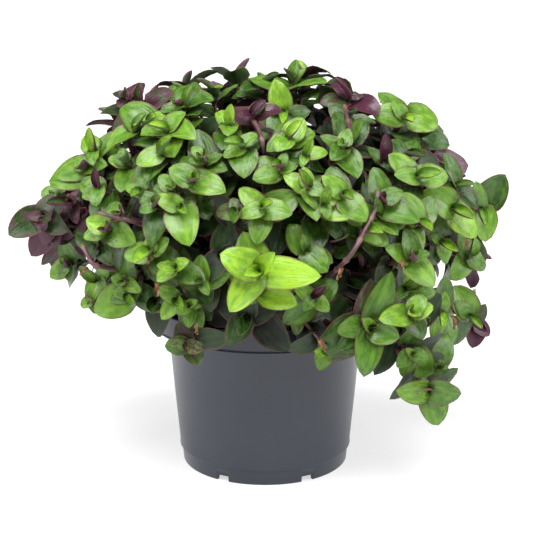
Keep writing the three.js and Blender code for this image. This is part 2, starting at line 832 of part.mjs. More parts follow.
function buildPlant(pot, soil) {
  const group = new THREE.Group();
  const neighbours = new Neighbours();
  neighbours.add("pot", pot);
  neighbours.add("soil", soil);
  const random = randomStream(11);
  const shoots = [...FRONT_SHOOTS, ...backShoots()].map((shoot) => ({
    name: shoot.name,
    tips: shoot.tips.map((tip) => {
      const at = tip.at.isVector3 ? tip.at : new THREE.Vector3(...tip.at);
      const axis = tip.axis ? new THREE.Vector3(...tip.axis).normalize() : tipAxis(at);
      return { at, axis, leaves: tip.leaves };
    }),
  }));
  const stems = shoots.map((shoot, index) => stemsOf(shoot, index, neighbours, random));
  shoots.forEach((shoot, index) => {
    const parts = [...stems[index], ...leavesOf(shoot, neighbours)];
    const whole = parts.reduce((sum, part) => sum.add(part));
    const colour = PURPLE_SHOOTS.includes(shoot.name) ? PURPLE_COLOUR : LEAF_COLOUR;
    group.add(named(`shoot_${shoot.name}`, geometryFrom(whole), colour, 0.45));
  });
  return group;
}

// ---------- the whole plant in its pot ----------

const pot = potSolid();
const soil = soilSolid();
const plant = new THREE.Group();
plant.add(named("pot", geometryFrom(pot), POT_COLOUR, 0.42));
plant.add(named("potting_soil", geometryFrom(soil), SOIL_COLOUR, 0.95));
plant.add(buildPlant(pot, soil));

export default plant;
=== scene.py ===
"""A turtle vine (Callisia repens) in a round grey nursery pot.

Lengths below are in millimetres in the CAD frame (+Z up, the front is -Y) and become metres when a
mesh is made. Each shoot is a stem with leafy tips, at the places that the CAD shoots have.
"""

import math
import random

import bpy
import bmesh
import numpy as np
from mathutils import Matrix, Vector
from mathutils.bvhtree import BVHTree


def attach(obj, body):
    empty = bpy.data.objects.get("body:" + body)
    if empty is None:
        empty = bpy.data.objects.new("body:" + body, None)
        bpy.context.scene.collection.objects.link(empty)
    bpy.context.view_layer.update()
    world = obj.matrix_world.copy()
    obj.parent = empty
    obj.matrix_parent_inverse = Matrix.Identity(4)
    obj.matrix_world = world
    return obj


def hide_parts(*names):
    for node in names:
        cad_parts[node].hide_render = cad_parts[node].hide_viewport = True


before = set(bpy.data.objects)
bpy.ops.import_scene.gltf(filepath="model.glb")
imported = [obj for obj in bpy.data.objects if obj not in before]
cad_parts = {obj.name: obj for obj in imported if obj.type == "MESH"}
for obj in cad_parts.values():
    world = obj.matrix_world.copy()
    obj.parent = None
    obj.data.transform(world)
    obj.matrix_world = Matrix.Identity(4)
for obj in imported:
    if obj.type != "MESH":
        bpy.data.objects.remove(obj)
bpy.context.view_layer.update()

MM = 0.001

# Pot, as in the CAD model
RIM_RADIUS = 60.0
POT_HEIGHT = 88.0
RIM_BAND_HEIGHT = 12.7
RIM_BAND_TAPER = 0.8
WALL_TOP_RADIUS = 51.8
WALL_BOTTOM_RADIUS = 45.8
WALL_THICKNESS = 1.6
FOOT_HEIGHT = 8.5
FOOT_TOP_RADIUS = 44.8
FOOT_BOTTOM_RADIUS = 44.1
FLOOR_RISE = 4.0
LIP_WIDTH = 2.8
POT_SIDES = 160
NOTCHES = 6
NOTCH_HEIGHT = 3.2
NOTCH_WIDTH = 7.0
NOTCH_CUT = 14.0  # the depth of the block that cuts a notch
SMOOTH_ANGLE = 35.0  # degrees: sharper edges of the pot stay crisp

# Soil
SOIL_TOP = 77.0
SOIL_CROWN = 2.5
SOIL_SIDES = 72
SOIL_CHIPS = 170

# Mound of foliage
MOUND_CENTRE = np.array([0.0, 0.0, 100.0])
MOUND_RADII = np.array([124.0, 104.0, 106.0])
UP = np.array([0.0, 0.0, 1.0])

# How a tip faces besides out of the mound
FACE_FORWARDS = -0.45  # at the front only
FACE_UPWARDS = 0.25

# Stems
STEM_FOOT_RADIUS = 1.5
STEM_TIP_RADIUS = 0.95
STEM_SIDES = 6
JOINT_SPACING = 13.0  # distance between the swollen joints of a stem
JOINT_SWELL = 0.38
ROOT_LEAST = 6.0  # the middle stems leave the soil this far from the pot's axis
ROOT_REACH = 36.0  # and the outermost this far
ROOT_SHARE = 0.38  # a root's distance from the axis over its tip's
ROOT_STAGGER = 5.0
ROOT_STAGGER_STEP = 0.618
STEM_RISE = 0.42  # the share of its height that a stem climbs straight up
LEAST_RISE = 22.0
LOW_TIP = POT_HEIGHT + 34.0  # stems to tips below this height go over the rim
RIM_CLEARANCE = 6.0
RIM_MARGIN = 3.0  # outside the rim
TIP_STRAIGHT = 9.0  # the last stretch of a stem lies along its tip's axis
BRANCH_AT = 0.62  # the share of a stem's length where its branches leave it
BRANCH_STRAIGHT = 8.0
BRANCH_BOW = 2.0  # how far the middle of a branch bows out of the straight
PATH_STEPS = 12  # between two of a path's points, while it is smoothed
STEM_RING_SPACING = 2.2
BRANCH_RINGS = 16  # points along a side stem
FILL_RINGS = 14

# Leaves
LEAF_WIDTH_SHARE = 0.79  # a leaf's width over its length
LEAF_THICKNESS = 0.55
LEAF_LIFT = 14.0  # degrees that a leaf rises from the plane square to its stem
LEAF_STEPS = 9
LEAF_COLUMNS = 8
CHECK_STEPS = 5
CHECK_COLUMNS = 4
NODE_STEP = 2.3  # distance along the stem from one leaf of a tip to the next
YOUNG_LEAF_LENGTH = 12.0
GOLDEN = 0.618034

# The shoots that face the front, each a stem with one to three leafy tips. A tip is its place, its
# colour, its leaves and, where it doesn't face plainly out of the mound, its axis. A leaf is (turn in
# degrees, length), with its lift and its width over its length after them where they are its own. Its
# turn is counted from the viewer's right, anticlockwise.
FRONT_SHOOTS = [
    ("top", [
        ((14, 5, 202), "green", [(160, 24), (-35, 22), (70, 12, 65), (40, 12, 40)], (0, -0.2, 1)),
        ((9, -25, 191), "bright", [(105, 17)], (0, -1, 0.35)),
        ((0, 15, 198), "dark", [(-140, 17), (-165, 17), (165, 8)], (0, -0.5, 1)),
    ]),
    ("top_purple", [
        ((-6, -50, 193), "purple", [(50, 10), (15, 15), (-140, 8)]),
        ((-17, -55, 189), "bright", [(-85, 11), (125, 12)]),
    ]),
    ("top_left", [
        ((-27, 0, 198), "bright", [(-40, 20), (130, 8)]),
        ((-40, 0, 195), "green", [(180, 24), (35, 12), (110, 11)]),
    ]),
    ("top_left_low", [
        ((-38, -34, 195), "green", [(0, 15), (-115, 9)]),
        ((-41, -33, 194), "green", [(-155, 11), (115, 8)]),
    ]),
    ("upper_left", [
        ((-57, -38, 186), "bright", [(40, 15), (-175, 9)]),
    ]),
    ("upper_left_arch", [
        ((-47, -48, 185), "bright", [(-10, 23), (-60, 23), (50, 13), (-165, 14)]),
        ((-29, -69, 176), "green", [(140, 8), (-20, 12), (-170, 8), (25, 9)]),
    ]),
    ("upper_left_round", [
        ((-49, -60, 176), "bright", [(150, 15), (-140, 13)]),
        ((-43, -76, 162), "green", [(175, 11), (140, 10)]),
    ]),
    ("left_crown_purple", [
        ((-71, -5, 195), "purple", [(85, 15), (180, 8), (55, 10), (-75, 8)], (-0.4, -0.5, 1)),
        ((-61, -15, 193), "purple", [(-115, 25), (-105, 15), (25, 19)], (-0.5, -0.7, 0.6)),
    ]),
    ("left_crown_green", [
        ((-84, -28, 172), "bright", [(45, 18), (-60, 11), (150, 14)]),
        ((-63, -37, 183), "green", [(-130, 18)]),
    ]),
    ("left_big", [
        ((-88, -30, 163), "green", [(-160, 25), (155, 10), (5, 15), (-155, 18)], (-0.5, -0.8, 0.6)),
        ((-80, -54, 159), "green", [(170, 15), (-75, 11), (-145, 11)]),
    ]),
    ("left_inner", [
        ((-66, -53, 171), "green", [(175, 12), (170, 8), (-85, 17), (135, 9)]),
        ((-58, -71, 160), "green", [(100, 8), (165, 10), (-30, 11)]),
    ]),
    ("left_inner_low", [
        ((-51, -78, 155), "green", [(165, 10), (-150, 9)]),
        ((-68, -72, 150), "dark", [(130, 12), (165, 9)]),
    ]),
    ("middle_left", [
        ((-33, -77, 166), "bright", [(-20, 18), (165, 14)]),
        ((-11, -66, 181), "green", [(-85, 18), (45, 10), (-140, 11)]),
    ]),
    ("middle_left_low", [
        ((-39, -80, 154), "bright", [(155, 14), (-70, 21)]),
        ((-13, -84, 153), "mottled", [(175, 11), (-145, 16), (110, 8)]),
    ]),
    ("middle_top", [
        ((11, -63, 184), "bright", [(-145, 13), (25, 15), (55, 14), (-125, 12)]),
        ((7, -73, 172), "green", [(155, 15), (65, 8), (5, 9), (-160, 14)]),
    ]),
    ("middle_right_top", [
        ((19, -69, 177), "bright", [(5, 11), (-110, 8)]),
        ((37, -61, 180), "green", [(140, 13), (65, 10), (-75, 18), (-135, 12)]),
    ]),
    ("middle", [
        ((20, -81, 164), "bright", [(140, 13), (-25, 10), (100, 10)]),
        ((-1, -88, 156), "bright", [(135, 16), (-10, 15), (-100, 17), (-165, 12)]),
    ]),
    ("middle_right", [
        ((27, -85, 157), "bright", [(160, 14), (-80, 8), (-20, 16), (45, 10)]),
        ((36, -80, 160), "bright", [(135, 13), (-40, 16)]),
    ]),
    ("crown_right_purple", [
        ((42, -10, 196), "purple", [(130, 14), (-45, 19), (-170, 16), (0, 8)], (0.1, -0.5, 1)),
        ((41, -30, 187), "dark", [(145, 13), (0, 14)], (0, -0.6, 1)),
    ]),
    ("crown_right", [
        ((70, -15, 186), "bright", [(-25, 18), (175, 17), (125, 11)], (0.2, -1, 0.5)),
        ((78, -5, 175), "dark", [(-20, 18), (10, 18), (-160, 16)], (0.4, -0.8, 0.6)),
    ]),
    ("right_high", [
        ((73, -53, 163), "green", [(130, 18), (-5, 17), (175, 15)]),
        ((87, -10, 161), "purple", [(-5, 20), (115, 8), (-55, 14)], (0.5, -1, 0.3)),
    ]),
    ("right_high_dark", [
        ((69, -40, 171), "dark", [(40, 13), (130, 12), (175, 14)]),
        ((57, -45, 170), "dark", [(120, 10), (-70, 8), (-25, 10)]),
    ]),
    ("right_tube", [
        ((55, -73, 156), "tube", [(95, 18), (-35, 22), (20, 12), (135, 15)]),
        ((52, -72, 148), "green", [(-50, 14), (180, 16), (-15, 17)]),
    ]),
    ("right_edge", [
        ((112, 10, 134), "green", [(100, 15), (-85, 18)], (0.4, -1, 0.2)),
        ((93, -35, 144), "bright", [(150, 19), (-50, 20)], (0.4, -1, 0.3)),
    ]),
    ("right_edge_low", [
        ((88, -35, 127), "green", [(115, 18), (150, 8), (-90, 13)], (0.4, -1, 0.2)),
        ((104, -20, 117), "green", [(115, 15), (-45, 14), (-135, 17)], (0.5, -0.8, 0.2)),
    ]),
    ("right_middle", [
        ((69, -75, 129), "green", [(100, 14), (5, 9), (155, 15), (-55, 19)]),
        ((46, -78, 143), "green", [(-15, 15), (-35, 12), (155, 10)]),
    ]),
    ("right_rim", [
        ((69, -78, 103), "bright", [(-175, 17), (15, 12), (45, 11)], (0.25, -1, 0.5)),
        ((68, -65, 111), "green", [(-145, 9), (-10, 16), (60, 9)], (0.3, -1, 0.5)),
    ]),
    ("right_big", [
        ((50, -78, 95), "green", [(70, 30, 20, 0.46), (-100, 23, 10, 0.6), (-20, 15)], (0.1, -1, 0.3)),
        ((47, -74, 96), "mottled",
         [(-142, 27, 8, 0.72), (80, 22, 14, 0.55), (-165, 14)], (0.1, -1, 0.3)),
    ]),
    ("right_hanging", [
        ((79, -75, 63), "green", [(170, 19), (-5, 16), (-75, 19)], (0.1, -1, -0.1)),
        ((71, -70, 80), "green", [(-55, 18), (-135, 10), (-20, 9), (-105, 13)], (0.2, -1, 0.1)),
        ((85, -60, 70), "green", [(-55, 9)], (0.2, -1, 0.1)),
    ]),
    ("right_hanging_back", [
        ((88, -40, 92), "green", [(-115, 15), (75, 11), (-70, 17)], (0.4, -1, 0.2)),
        ((74, -50, 90), "dark", [(-90, 11), (-135, 9)], (0.2, -1, 0.1)),
    ]),
    ("right_purple", [
        ((118, 48, 61), "purple",
         [(60, 12), (-45, 12), (-105, 15), (150, 11), (105, 16)], (0.3, -1, 0.1)),
        ((112, 25, 71), "green", [(105, 20), (135, 13)], (0.4, -1, 0.2)),
    ]),
    ("front", [
        ((-3, -100, 129), "lime",
         [(158, 20, 24, 0.84), (-5, 29, 8, 0.56), (45, 14, 45), (-125, 24, 6, 0.66)],
         (0, -1, 0.35)),
        ((-2, -88, 116), "lime", [(-20, 18), (-115, 21)], (0, -1, 0.25)),
    ]),
    ("front_right", [
        ((23, -82, 112), "green", [(35, 14), (150, 11), (-125, 9), (-45, 10)], (0, -1, 0.4)),
        ((19, -81, 134), "green", [(-50, 15), (120, 15), (-25, 15)]),
    ]),
    ("front_left", [
        ((-42, -86, 127), "bright", [(-135, 11), (25, 8)]),
        ((-30, -84, 120), "green", [(95, 13), (20, 15), (-60, 8)]),
    ]),
    ("front_left_low", [
        ((-36, -75, 106), "green",
         [(100, 14), (-140, 8), (-90, 11), (-60, 13), (15, 8)], (-0.1, -1, 0.3)),
        ((-42, -72, 108), "bright", [(-125, 13), (155, 11)], (-0.2, -1, 0.3)),
    ]),
    ("left_trailing", [
        ((-38, -72, 85), "mottled",
         [(-175, 11), (105, 11), (-65, 13), (-15, 9), (175, 8)], (-0.1, -1, 0.2)),
    ]),
    ("rim_small", [
        ((16, -68, 99), "mottled", [(-175, 8), (-95, 11)], (0, -1, 0.2)),
        ((29, -72, 83), "green", [(-105, 11), (10, 8)], (0.1, -1, 0.1)),
    ]),
    ("left_middle", [
        ((-74, -72, 142), "bright", [(-155, 13), (-10, 16), (165, 12)]),
        ((-54, -82, 134), "bright", [(-170, 15), (85, 8), (40, 11)]),
    ]),
    ("left_low", [
        ((-83, -40, 126), "dark", [(-35, 16), (-135, 9), (160, 15)], (-0.5, -1, 0.3)),
        ((-68, -62, 114), "bright", [(-25, 10), (170, 8)], (-0.3, -1, 0.4)),
        ((-67, -55, 106), "green", [(-135, 21), (-180, 8), (-155, 11)], (-0.3, -1, 0.1)),
    ]),
    ("left_low_round", [
        ((-83, -45, 111), "green", [(-110, 14), (-35, 8), (40, 9)], (-0.4, -1, 0.2)),
        ((-87, -40, 99), "green", [(-140, 8), (-75, 8)], (-0.4, -1, 0.1)),
    ]),
    ("left_low_dark", [
        ((-53, -55, 102), "dark", [(120, 8), (150, 9), (-125, 8)], (-0.2, -1, 0.3)),
    ]),
    ("left_far_purple", [
        ((-109, -40, 141), "purple", [(-145, 20), (-175, 8), (55, 14), (-65, 9)], (-0.3, -1, 0.4)),
        ((-107, -30, 134), "purple", [(-125, 21), (-120, 12), (-75, 12)], (-0.4, -1, 0.1)),
    ]),
    ("left_purple", [
        ((-96, -35, 146), "purple",
         [(-95, 10), (-55, 11), (60, 9), (-165, 11), (150, 11)], (-0.6, -0.8, 0.5)),
        ((-88, -35, 142), "purple", [(-125, 17)], (-0.4, -1, 0.2)),
    ]),
    ("left_far_green", [
        ((-101, -20, 112), "green", [(-140, 14), (-115, 9), (-75, 9), (105, 15)], (-0.5, -1, 0.2)),
        ((-106, -15, 145), "green", [(170, 13), (-145, 9)], (-0.6, -0.8, 0.4)),
    ]),
]

# ---------- directions and paths ----------


def unit(vector):
    return vector / np.linalg.norm(vector)


def tip_axis(at):
    """The direction that a tip at this place faces: out of the mound, a little up and forwards."""
    out = (at - MOUND_CENTRE) / MOUND_RADII**2
    out[2] = max(out[2], 0.0)
    forwards = FACE_FORWARDS if at[1] < 0 else 0.0
    return unit(unit(out) + np.array([0.0, forwards, FACE_UPWARDS]))


def tip_plane(axis):
    """The two directions square to a tip's axis: its right and its upward one."""
    right = unit(np.cross(UP, axis))
    return right, np.cross(axis, right)


def onto_mound(spot, reach=1.0):
    out = spot - MOUND_CENTRE
    return MOUND_CENTRE + reach * out / np.linalg.norm(out / MOUND_RADII)


def smooth_path(points, count):
    """An evenly spaced Catmull-Rom line through the points."""
    points = [np.asarray(p, float) for p in points]
    padded = [2 * points[0] - points[1]] + points + [2 * points[-1] - points[-2]]
    fine = []
    for a, b, c, d in zip(padded, padded[1:], padded[2:], padded[3:]):
        for t in np.linspace(0, 1, PATH_STEPS, endpoint=False):
            fine.append(
                0.5 * (2 * b + (c - a) * t + (2 * a - 5 * b + 4 * c - d) * t**2
                       + (3 * b - a - 3 * c + d) * t**3)
            )
    fine.append(points[-1])
    fine = np.array(fine)
    along = np.concatenate([[0], np.cumsum(np.linalg.norm(np.diff(fine, axis=0), axis=1))])
    wanted = np.linspace(0, along[-1], count)
    return np.stack([np.interp(wanted, along, fine[:, k]) for k in range(3)], 1)


def path_length(path):
    return float(np.linalg.norm(np.diff(path, axis=0), axis=1).sum())


def point_on(path, back):
    """The point this far back from the path's end, and the path's direction there."""
    steps = np.linalg.norm(np.diff(path, axis=0), axis=1)
    left = back
    for i in range(len(steps) - 1, -1, -1):
        if left <= steps[i] or i == 0:
            share = min(left / steps[i], 1.0)
            return path[i + 1] + (path[i] - path[i + 1]) * share, unit(path[i + 1] - path[i])
        left -= steps[i]


def stem_path(at, axis, index):
    """From the soil to a tip: up out of the pot, over the rim where the tip is low."""
    flat = np.array([at[0], at[1], 0.0])
    outward = unit(flat)
    stagger = ROOT_STAGGER * ((index * ROOT_STAGGER_STEP) % 1)
    reach = min(ROOT_REACH, ROOT_LEAST + np.linalg.norm(flat) * ROOT_SHARE + stagger)
    root = outward * reach + UP * SOIL_TOP
    points = [root, root + UP * max(at[2] - SOIL_TOP, LEAST_RISE) * STEM_RISE]
    if np.linalg.norm(flat) > RIM_RADIUS and at[2] < LOW_TIP:
        points[1][2] = max(points[1][2], POT_HEIGHT + RIM_CLEARANCE)
        top = max(POT_HEIGHT + RIM_CLEARANCE + 1, at[2])
        over = outward * (RIM_RADIUS + RIM_MARGIN) + UP * top
        if np.linalg.norm(flat - over * [1, 1, 0]) > RIM_CLEARANCE:
            points.append(over)
    points += [at - axis * TIP_STRAIGHT, at]
    return smooth_path(points, 4 + int(path_length(np.array(points)) / 4))


# ---------- leaf surfaces ----------


def half_width(s, point):
    """Half a leaf's width at a share of its length, as a share of its greatest.

    The base is round, and the tip is drawn to a point more where point is greater.
    """
    blade = np.sin(np.pi * s**0.66) ** 0.5 * np.maximum(1 - s**6, 0) ** point
    return np.maximum(blade, 0.42 * np.clip(1 - s / 0.1, 0, 1))


def leaf_frame(spec, s):
    """The midrib's points, its tangents and its upper normals at the shares s."""
    axis, outwards = spec["axis"], spec["outwards"]
    open_angle = math.radians(90 - spec["lift"])
    first = min(math.radians(14), open_angle)
    turn_in = np.clip(s / 0.24, 0, 1)
    turn_in = turn_in * turn_in * (3 - 2 * turn_in)
    angle = first + (open_angle - first) * turn_in + math.radians(spec["droop"]) * s**2
    tangent = np.cos(angle)[:, None] * axis + np.sin(angle)[:, None] * outwards
    normal = np.sin(angle)[:, None] * axis - np.cos(angle)[:, None] * outwards
    step = np.diff(s) * spec["length"] * 1.08
    middle = (tangent[1:] + tangent[:-1]) / 2
    points = np.concatenate([[np.zeros(3)], np.cumsum(middle * step[:, None], axis=0)])
    return points + spec["base"], tangent, normal


def leaf_surface(spec, steps, columns):
    """The leaf's upper surface as a grid of points, with the grid of its normals."""
    s = np.linspace(0, 1, steps + 1) ** 0.9
    w = np.linspace(-1, 1, columns + 1)
    w = np.sign(w) * np.abs(w) ** 0.85
    points, tangent, normal = leaf_frame(spec, s)
    side = np.cross(tangent, normal)
    twist = math.radians(spec["twist"]) * s[:, None]
    side, normal = (
        side * np.cos(twist) + normal * np.sin(twist),
        normal * np.cos(twist) - side * np.sin(twist),
    )
    half = spec["length"] * spec["width"] / 2 * half_width(s, spec["point"])
    sheath = np.clip(1 - s / spec["sheath"], 0, 1) ** 1.5
    curl = spec["cup"] + (spec["curl"] - spec["cup"]) * sheath
    reach = half[:, None] * w[None, :]
    curl = np.where(np.abs(curl) < 0.02, 0.02, curl)
    bend = curl[:, None] / np.maximum(half, 0.2)[:, None]
    across = np.sin(reach * bend) / bend
    height = (1 - np.cos(reach * bend)) / bend
    groove = np.minimum(np.abs(w) / 0.35, 1)
    fold = spec["fold"] * half[:, None] * groove[None, :] * (1 - sheath)[:, None]
    ripple = spec["ripple"] * np.sin(2 * np.pi * (s[:, None] * 2.2 + spec["phase"]) + 1.5 * np.sign(w))
    ripple = ripple * (np.abs(w) ** 2)[None, :] * (1 - sheath)[:, None]
    grid = (
        points[:, None, :]
        + across[..., None] * side[:, None, :]
        + (height + fold + ripple)[..., None] * normal[:, None, :]
    )
    along = np.gradient(grid, axis=0)
    sideways = np.gradient(grid, axis=1)
    up = np.cross(sideways, along)
    length = np.linalg.norm(up, axis=2, keepdims=True)
    up = np.where(length > 1e-9, up / np.maximum(length, 1e-9), normal[:, None, :])
    flip = np.sign((up * normal[:, None, :]).sum(2).mean()) or 1.0
    return grid, up * flip


def check_tree(spec):
    """A coarse sheet of the leaf's blade, without its sheath, for overlap tests."""
    grid, _ = leaf_surface(spec, CHECK_STEPS, CHECK_COLUMNS)
    grid = grid[1:]
    rows, columns = grid.shape[:2]
    corners = grid.reshape(-1, 3)
    faces = [
        (i * columns + j, i * columns + j + 1, (i + 1) * columns + j + 1, (i + 1) * columns + j)
        for i in range(rows - 1)
        for j in range(columns - 1)
    ]
    centre = corners.mean(0)
    radius = np.linalg.norm(corners - centre, axis=1).max()
    return BVHTree.FromPolygons(corners.tolist(), faces), centre, radius

# ---------- what grows where ----------

# name: (brightness of the green, share of purple)
TONES = {
    "lime": (0.96, 0.0),
    "bright": (0.76, 0.0),
    "green": (0.63, 0.04),
    "dark": (0.40, 0.08),
    # the shaded tone is painted shade: a darker green that stands in for the shade deep inside the
    # mound
    "shaded": (0.16, 0.10),
    "mottled": (0.50, 0.34),
    "purple": (0.36, 0.62),
    "tube": (0.60, 0.04),  # green leaves round a purple rolled one
}
OLDER_LEAVES = 3
OLDER_SPACING = 8.0  # distance along the stem from one older leaf to the next
OLDER_TURN = 155.0
YOUNG_LIFT = 35.0  # a listed leaf that stands up more than this is a young one
PURPLE_ROLLED_SHARE = 0.07  # of the green tips, those with a purple rolled leaf
TOP_AXIS_RISE = 0.72  # a tip that points up more than this has arching leaves
# Runs of bare stem that show between the leaves, each as its shoot and its points
BARE_STEMS = [
    ("right_tube", [(31, -71, 119), (39, -93, 134), (46, -86, 144), (52, -77, 154), (53, -72, 161)]),
    ("crown_right_purple", [(40, -40, 171), (41, -53, 183), (40, -42, 190), (39, -30, 195)]),
    ("left_far_purple", [(-53, -61, 140), (-64, -75, 147), (-73, -70, 148), (-80, -63, 148)]),
    ("left_far_green", [(-71, -59, 119), (-81, -74, 125), (-85, -69, 129), (-88, -64, 133)]),
    ("top_purple", [(0, -53, 169), (-1, -65, 181), (-3, -58, 187), (-6, -51, 191)]),
    ("rim_small", [(7, -48, 94), (13, -60, 101), (20, -64, 93), (27, -63, 85)]),
]

# Shoots at the back, spread evenly by the golden ratio
BACK_SHOOTS = 14
BACK_TRIES = 60
BACK_TIPS = 4
BACK_SPACING = 40.0
BACK_LEAST_Y = 22.0
BACK_LOWEST = 0.08  # as shares of the mound's height over its centre
BACK_HEIGHTS = 0.86
BACK_FIRST_TURN = -4.0  # degrees about +Z from +X
BACK_TURN_STEP = 37.5
BACK_TURNS = 188.0
BACK_LEAF_LENGTHS = (18, 20, 17)
BACK_LEAF_TURN = 155.0  # degrees from each leaf to the next
BACK_TONES = ("bright", "green", "green", "dark")
SIDE_TIP_DISTANCE = 23.0
SIDE_TIP_TURN = 120.0
SIDE_TIP_STAGGER = 40.0

# Short side shoots that fill the mound
# Each layer of fill as (share of the mound's radius, tips tried)
FILL_LAYERS = ((0.93, 60), (0.82, 70), (0.66, 60), (0.48, 50), (0.3, 24))
FILL_SPACING = 15.0
FILL_LOWEST = -0.12  # as shares of the mound's height over its centre
FILL_HEIGHTS = 1.08
FILL_LAYER_TURN = 9.0  # radians that a layer turns for each unit of its share
FILL_BOTTOM = 100.0  # the lowest fill near the pot's axis
FILL_EDGE_RISE = 24.0  # and how much higher it stays at the sides of the mound
FILL_EDGE_START = 55.0  # the sides start this far from the axis
FILL_EDGE_WIDTH = 45.0
FILL_BRANCH_SHARES = (0.35, 0.5, 0.65, 0.8)  # where a fill shoot may leave a stem
FILL_LEAF_TURN = 150.0
FILL_LEAVES = 3


def random_stream(seed):
    """A repeatable stream of numbers from 0 to 1 (mulberry32)."""
    state = seed
    while True:
        state = (state + 0x6D2B79F5) & 0xFFFFFFFF
        t = ((state ^ (state >> 15)) * (state | 1)) & 0xFFFFFFFF
        t ^= (t + ((t ^ (t >> 7)) * (t | 61))) & 0xFFFFFFFF
        yield ((t ^ (t >> 14)) & 0xFFFFFFFF) / 4294967296


def back_shoots():
    """Evenly spread shoots over the back of the mound, each with four tips."""
    stream = random_stream(7)
    shoots = []
    for i in range(BACK_TRIES):
        if len(shoots) == BACK_SHOOTS:
            break
        height = BACK_LOWEST + BACK_HEIGHTS * ((i * GOLDEN) % 1)
        turn = math.radians(BACK_FIRST_TURN + ((i * BACK_TURN_STEP) % BACK_TURNS))
        ring = math.sqrt(1 - height * height)
        at = np.array([ring * math.cos(turn), ring * math.sin(turn), height])
        at = at * MOUND_RADII + MOUND_CENTRE
        firsts = [tips[0][0] for _, tips in shoots]
        crowded = any(np.linalg.norm(first - at) < BACK_SPACING for first in firsts)
        if crowded or at[1] < BACK_LEAST_Y:
            continue
        right, rise = tip_plane(tip_axis(at))
        tips = []
        for k in range(BACK_TIPS):
            around = math.radians(90 + k * SIDE_TIP_TURN + SIDE_TIP_STAGGER * next(stream))
            distance = 0 if k == 0 else SIDE_TIP_DISTANCE
            spot = at + distance * (right * math.cos(around) + rise * math.sin(around))
            first = 360 * next(stream)
            leaves = [
                (first + n * BACK_LEAF_TURN, length) for n, length in enumerate(BACK_LEAF_LENGTHS)
            ]
            tone = BACK_TONES[(k + i) % len(BACK_TONES)]
            tips.append((onto_mound(spot), tone, leaves))
        shoots.append((f"back_{len(shoots) + 1}", tips))
    return shoots


class Canopy:
    """The blades placed so far, so that a new one can be kept clear of them."""

    def __init__(self):
        self.trees = []
        self.centres = np.zeros((0, 3))
        self.radii = np.zeros(0)

    def add(self, spec):
        self.add_tree(*check_tree(spec))

    def add_tree(self, tree, centre, radius):
        self.trees.append(tree)
        self.centres = np.vstack([self.centres, centre])
        self.radii = np.append(self.radii, radius)

    def clear(self, spec):
        tree, centre, radius = check_tree(spec)
        near = np.linalg.norm(self.centres - centre, axis=1) < self.radii + radius
        return not any(self.trees[i].overlap(tree) for i in np.nonzero(near)[0])

    def place(self, spec, tries):
        """Adds the leaf in the first of its poses that is clear, and says whether there was one."""
        for shrink, lift, turn in tries:
            posed = dict(spec)
            posed["length"] = spec["length"] * shrink
            posed["lift"] = min(spec["lift"] + lift, 86)
            angle = spec["turn"] + math.radians(turn)
            posed["outwards"] = spec["right"] * math.cos(angle) + spec["rise"] * math.sin(angle)
            if self.clear(posed):
                self.add(posed)
                return posed
        return None


HAND_TRIES = [
    (shrink, lift, turn)
    for shrink in (1, 0.93)
    for lift in (0, 8, -8, 16, 26, -16)
    for turn in (0, 7, -7, 14, -14)
]
FILL_TRIES = [
    (shrink, lift, turn)
    for shrink in (1, 0.8)
    for lift in (0, 14, -12, 28)
    for turn in (0, 25, -25, 60, -60)
]


def leaf(base, axis, turn, length, tone, rng, lift=None, kind="open", width=None):
    """The numbers that describe one leaf. Its turn is in degrees in the plane square to axis."""
    right, rise = tip_plane(axis)
    angle = math.radians(turn)
    green, purple = tone
    spec = {
        "base": base,
        "axis": axis,
        "right": right,
        "rise": rise,
        "turn": angle,
        "outwards": right * math.cos(angle) + rise * math.sin(angle),
        "length": length * rng.uniform(0.97, 1.05),
        "width": width or LEAF_WIDTH_SHARE * rng.uniform(0.86, 1.14),
        "lift": LEAF_LIFT + rng.uniform(-6, 8) if lift is None else lift,
        "droop": rng.uniform(12, 44),
        "twist": rng.uniform(-16, 16),
        "cup": rng.uniform(-0.35, 0.6),
        "curl": 2.5,
        "sheath": rng.uniform(0.20, 0.27),
        "fold": rng.uniform(0.02, 0.12),
        "ripple": rng.uniform(0.0, 0.45),
        "point": rng.uniform(0.10, 0.30),
        "phase": rng.random(),
        "tone": min(max(green + rng.uniform(-0.12, 0.12), 0.02), 1.0),
        "purple": min(max(purple * rng.uniform(0.6, 1.5), 0.0), 1.0),
        "seed": rng.random(),
    }
    if axis[2] > TOP_AXIS_RISE and kind == "open":
        spec["lift"] += rng.uniform(0, 30)
        spec["droop"] += rng.uniform(12, 34)
    if kind == "young":
        spec.update(cup=1.0, droop=8.0, sheath=0.45, curl=2.6, ripple=0.0)
    if kind == "rolled":
        spec.update(cup=rng.uniform(1.0, 1.7), curl=2.7, droop=14.0, sheath=0.75, ripple=0.0,
                    fold=0.0, width=0.72)
    return spec


